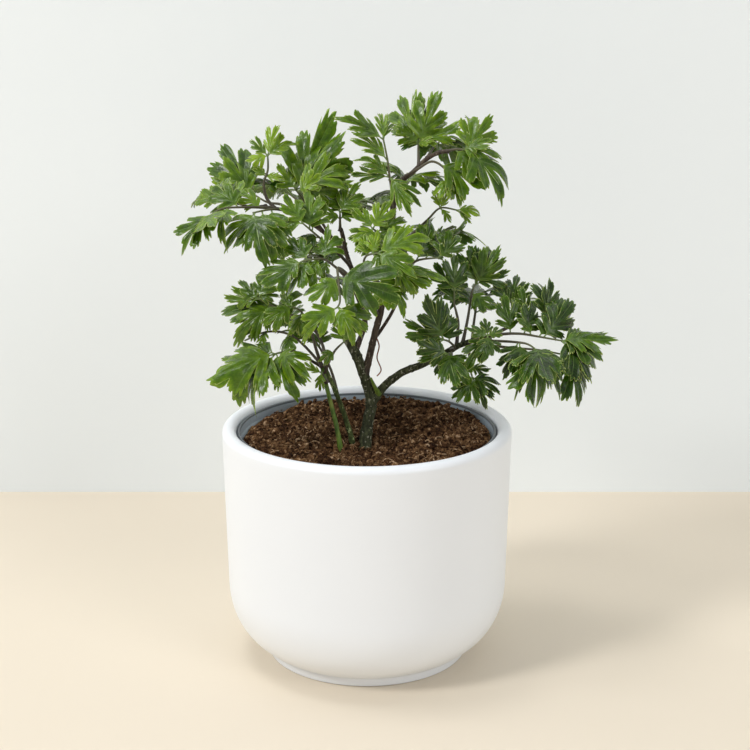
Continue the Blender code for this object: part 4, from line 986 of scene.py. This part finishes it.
def outline_reaches(chance, depth):
    """Reach of the ray at every column: the lobe's reach times bay + (1 - bay) fill, where the fill
    is the table's, its tooth and notch redrawn for each side of each lobe."""
    reaches = []
    for side in (-1, 1):
        sizes = chance.uniform(*SIZE_RANGE)
        bays = np.clip(depth * chance.uniform(*BAY_RANGE, 4), DEEPEST, SHALLOWEST)
        values = np.empty(len(SIDE_U))
        for lobe in (0, 1, 2):
            for flank in (-1, 1):
                fill = np.array(LOBE_FILL)
                fill[list(TEETH)] *= chance.uniform(0.86, 1.14)
                fill[list(NOTCHES)] *= chance.uniform(0.86, 1.08, 2)
                own = (np.rint(SIDE_U).clip(0, 2) == lobe) & (np.sign(SIDE_U - lobe) * flank >= 0)
                w = np.abs(SIDE_U[own] - lobe)
                bay = bays[lobe + (flank > 0)]
                grown = np.interp(w, LOBE_W, fill)
                values[own] = sizes[lobe] * (bay + (1 - bay) * grown)
        reaches.append(values * np.interp(SIDE_U, RAY_U, RAY_REACHES))
    reaches[0][0] = reaches[1][0]
    return np.concatenate([reaches[0][:0:-1], reaches[1]])


def leaflet_sheet(pose, tone, chance, depth, spread):
    """A leaflet as a shell round p(u, r) = start(u) + r reach(u) (sin angle(u), cos angle(u)), in the
    plane of the leaflet. Out of that plane it arches along the midrib by 4 arch y (1 - y), rises
    at the sides by |x| and hangs by the square of x, twists by x y and folds up from every rib.
    Each lobe bends on its own by the square of its reach, and the edge waves by sin 4 angle.
    Marks: mm from the edge and from the nearest rib, mm along the ray, the tone (which carries the stem's
    painted light and shade), and the underside.
    """
    length, along, across, normal = blade_axes(pose)
    u = np.abs(SIGNED_U)
    angle = np.radians(np.interp(u, RAY_U, RAY_ANGLES)) * np.sign(SIGNED_U) * spread
    start = np.interp(u, RAY_U, RAY_STARTS)
    reach = outline_reaches(chance, depth)
    out = ROWS[:, None] * reach
    x = out * np.sin(angle)
    y = start + out * np.cos(angle)
    rib = np.abs(u - np.rint(u).clip(0, 2)) * RIB_SPACING * out
    lobes = np.interp(SIGNED_U, (-2, -1, 0, 1, 2), chance.normal(-0.12, 0.40, 5))
    hang = chance.uniform(0.7, 1.7) * x * x
    twist = chance.normal(0, 0.4) * x * (y - 0.3)
    fold = 0.30 * np.minimum(rib, 0.05)
    bend = lobes * 2.4 * np.clip(out - 0.2, 0, None) ** 2
    wave = 0.03 * np.sin(4 * angle + chance.uniform(0, 6)) * out / 0.4
    z = 4 * BLADE_ARCH * y * (1 - y) + 0.18 * np.abs(x) - hang + twist + fold + bend + wave
    shape = np.stack([x, y, z], axis=-1) * length
    axes = np.array([across[:], along[:], normal[:]])
    surface = np.array(pose.base[:]) + shape @ axes
    lift = unit(np.cross(np.gradient(surface, axis=1), np.gradient(surface, axis=0) + 1e-6 * axes[1]))
    lift *= np.sign(np.einsum("rcj,j->rc", lift, axes[2]))[..., None]
    thick = BLADE_HALF_THICKNESS * np.interp(ROWS, (0.0, 0.8, 1.0), (1.0, 0.9, 0.35))[:, None, None]
    lift[0] = axes[2]
    flat = shape[..., :2].reshape(-1, 1, 2)
    rim = shape[-1, :, :2]
    run = np.diff(rim, axis=0)
    share = np.clip(np.einsum("psj,sj->ps", flat - rim[:-1], run) / (run ** 2).sum(axis=1), 0, 1)
    edge = np.linalg.norm(flat - rim[:-1] - share[..., None] * run, axis=-1).min(axis=1).reshape(x.shape)
    marks = {"edge": edge, "rib": rib * length, "along": out * length,
             "tone": np.full_like(edge, tone), "under": np.zeros_like(edge)}
    return shell(surface, lift * thick, marks)


def shell(surface, lift, marks):
    """Upper and lower sheet, at surface + lift and surface - lift. The two halves of the first row, which
    is the midrib, are made one, and a strip round the rim closes the two sheets to a body."""
    rows, count = surface.shape[:2]
    number = np.arange(rows * count)
    number[:count] = np.minimum(np.arange(count), count - 1 - np.arange(count))
    grid = number[grid_faces(rows, count)]
    left = number[np.arange(rows) * count]
    right = number[np.arange(rows) * count + count - 1]
    border = np.concatenate([left, number[(rows - 1) * count + 1: rows * count - 1], right[::-1]])
    total = rows * count
    rim = np.stack([border[:-1], border[1:], border[1:] + total, border[:-1] + total], axis=-1)
    points = np.concatenate([(surface + lift).reshape(-1, 3), (surface - lift).reshape(-1, 3)])
    both = {key: np.concatenate([value.ravel(), value.ravel()]) for key, value in marks.items()}
    both["under"][total:] = 1.0
    faces = np.concatenate([grid, grid[:, ::-1] + total, rim])
    used, renumbered = np.unique(faces, return_inverse=True)
    kept = {key: value[used] for key, value in both.items()}
    return outward(Sheet(points[used], [renumbered.reshape(faces.shape)], kept))


def rachis_sheet(leaf):
    """The leaf's main stalk: a tube thicker at its foot, lighter green toward its end."""
    sides = 8
    path = curve_points(leaf.line, 6)
    share = np.linspace(0, 1, len(path))
    radii = 0.85 - 0.45 * share + 0.5 * np.exp(-share * 14)
    sheet = tube(path, radii, sides, facing_vector(leaf.facing)[:])
    young = np.append(np.repeat(share * 0.55, sides), (0.0, 0.55))
    return sheet._replace(marks={"young": young})


def petiolule_sheet(pose):
    """A leaflet's own stalk, which runs on under the blade as its midrib: a thinning tube that
    follows the blade's arch from below, for 0.72 of its length."""
    reach, sides = 0.72, 6
    length, along, _, normal = blade_axes(pose)
    share = np.linspace(0, reach, 9)
    rise = 4 * BLADE_ARCH * share * (1 - share) * length - BLADE_HALF_THICKNESS
    path = (np.array(pose.base[:]) + share[:, None] * length * np.array(along[:])
            + rise[:, None] * np.array(normal[:]))
    radii = np.interp(share, (0, 0.15, reach), (0.42, 0.34, 0.10))
    sheet = tube(path, radii, sides, normal[:])
    young = np.append(np.repeat(np.interp(share, (0, 0.2), (0.6, 1.0)), sides), (0.6, 1.0))
    return sheet._replace(marks={"young": young})


# How light a stem's leaves are, 0 to 1, partly their own tone and partly painted light and shade (lighter
# up on the left, darkest on the right branch), and how far their bays reach in: less is deeper
FOLIAGE = {"left_twig": (0.60, 0.38), "leader_shoot": (0.56, 0.38), "inner_shoot": (0.50, 0.45),
           "thin_shoot": (0.38, 0.42), "dark_side_stem": (0.50, 0.46), "green_side_stem": (0.52, 0.46),
           "right_branch": (0.22, 0.38), "trunk": (0.45, 0.42)}
# Leaves with narrower leaflets than the others
SLENDER = {"crown_leaf": 0.6, "right_sprig_leaf": 0.72, "side_stem_small_leaf": 0.7,
           "upright_left_leaf": 0.8}


def build_leaves():
    """For each leaf a piece with all its blades, and for each stem one with the stalks of its leaves."""
    chance = np.random.default_rng(11)
    grown = grown_leaflets()
    stalks = {}
    for leaf in LEAVES:
        light, depth = FOLIAGE[leaf.stem]
        blades = []
        stalks.setdefault(leaf.stem, []).append((leaf.name, rachis_sheet(leaf)))
        for station, pose in grown[leaf.name]:
            pose = pose._replace(base=on_line(leaf.line, station))
            # the stem's share of this tone is partly painted light and shade; the random draw is the
            # leaflet's own tone
            tone = float(np.clip(light + chance.normal(0, 0.10), 0.05, 0.9))
            blades.append(leaflet_sheet(pose, tone, chance, depth * chance.uniform(0.8, 1.25),
                                        chance.uniform(0.84, 1.08) * SLENDER.get(leaf.name, 1.0)))
            stalks[leaf.stem].append((leaf.name, petiolule_sheet(pose)))
        piece(f"{leaf.name}_blades", joined(blades), "leaf", "leaf", leaf.name)
    for stem, named in stalks.items():
        names = sorted({name for name, _ in named})
        piece(f"{stem}_leaf_stalks", joined([sheet for _, sheet in named]), "stalk", "leaf", *names)


# ---------------------------------------------------------------- stage, light and camera

FLOOR_HALF_WIDTH, FLOOR_HALF_DEPTH = 3.0, 2.5       # metres from here on
WALL_PLACE, WALL_TOP = 0.235, 2.5
# Name, place, the height above the origin that it points at, size and power
LIGHTS = (("window", (-2.2, -1.4, 2.2), 0.12, 0.8, 52.0),
          ("skylight", (-0.5, 0.1, 1.9), 0.15, 0.6, 9.0),
          ("front_fill", (2.0, -2.1, 1.7), 0.12, 1.6, 24.0))
SKY_COLOUR, SKY_STRENGTH = (0.93, 0.96, 1.0), 0.455
CAMERA_PLACE, CAMERA_TILT = (0.004, -0.766, 0.354), 15.3      # degrees below level
CAMERA_LENS, SENSOR_WIDTH = 76.8, 36.0                        # millimetres


def plane(name, corners, finish):
    """One four-sided face that isn't part of the plant."""
    mesh = bpy.data.meshes.new(name)
    mesh.from_pydata(corners, [], [(0, 1, 2, 3)])
    mesh.materials.append(finish)
    item = bpy.data.objects.new(name, mesh)
    bpy.context.scene.collection.objects.link(item)


def build_stage():
    """A plain pale floor and, across it behind the plant, a plain off-white wall."""
    w, d = FLOOR_HALF_WIDTH, FLOOR_HALF_DEPTH
    plane("floor", [(-w, -d, 0), (w, -d, 0), (w, d, 0), (-w, d, 0)],
          stage_finish("floor", (0.765, 0.675, 0.545), 0.6))
    plane("wall", [(-w, WALL_PLACE, 0), (w, WALL_PLACE, 0), (w, WALL_PLACE, WALL_TOP),
                   (-w, WALL_PLACE, WALL_TOP)], stage_finish("wall", (0.865, 0.905, 0.915), 0.9))


def soft_light(name, place, height, size, power):
    """A round light that points at this height above the origin."""
    light = bpy.data.lights.new(name, "AREA")
    light.shape = "DISK"
    light.size = size
    light.energy = power
    item = bpy.data.objects.new(name, light)
    item.location = place
    item.rotation_euler = (Vector((0, 0, height)) - Vector(place)).to_track_quat("-Z", "Y").to_euler()
    bpy.context.scene.collection.objects.link(item)


def build_light():
    """An even, slightly cool sky and the three soft lights."""
    world = bpy.data.worlds.new("studio")
    world.use_nodes = True
    sky = world.node_tree.nodes["Background"].inputs
    sky["Color"].default_value = (*SKY_COLOUR, 1)
    sky["Strength"].default_value = SKY_STRENGTH
    bpy.context.scene.world = world
    for light in LIGHTS:
        soft_light(*light)


def build_camera():
    """In front of the plant and above it, looking along +Y and a little down."""
    camera = bpy.data.cameras.new("camera")
    camera.lens = CAMERA_LENS
    camera.sensor_width = SENSOR_WIDTH
    camera.clip_start = 0.05
    item = bpy.data.objects.new("camera", camera)
    item.location = CAMERA_PLACE
    item.rotation_euler = (math.radians(90 - CAMERA_TILT), 0, 0)
    bpy.context.scene.collection.objects.link(item)
    bpy.context.scene.camera = item
    bpy.context.scene.view_settings.view_transform = "Standard"


build_camera()
build_stage()
build_light()
build_planter()
build_nursery_pot()
build_soil()
build_crumbs()
build_fibres()
build_stems()
build_leaves()
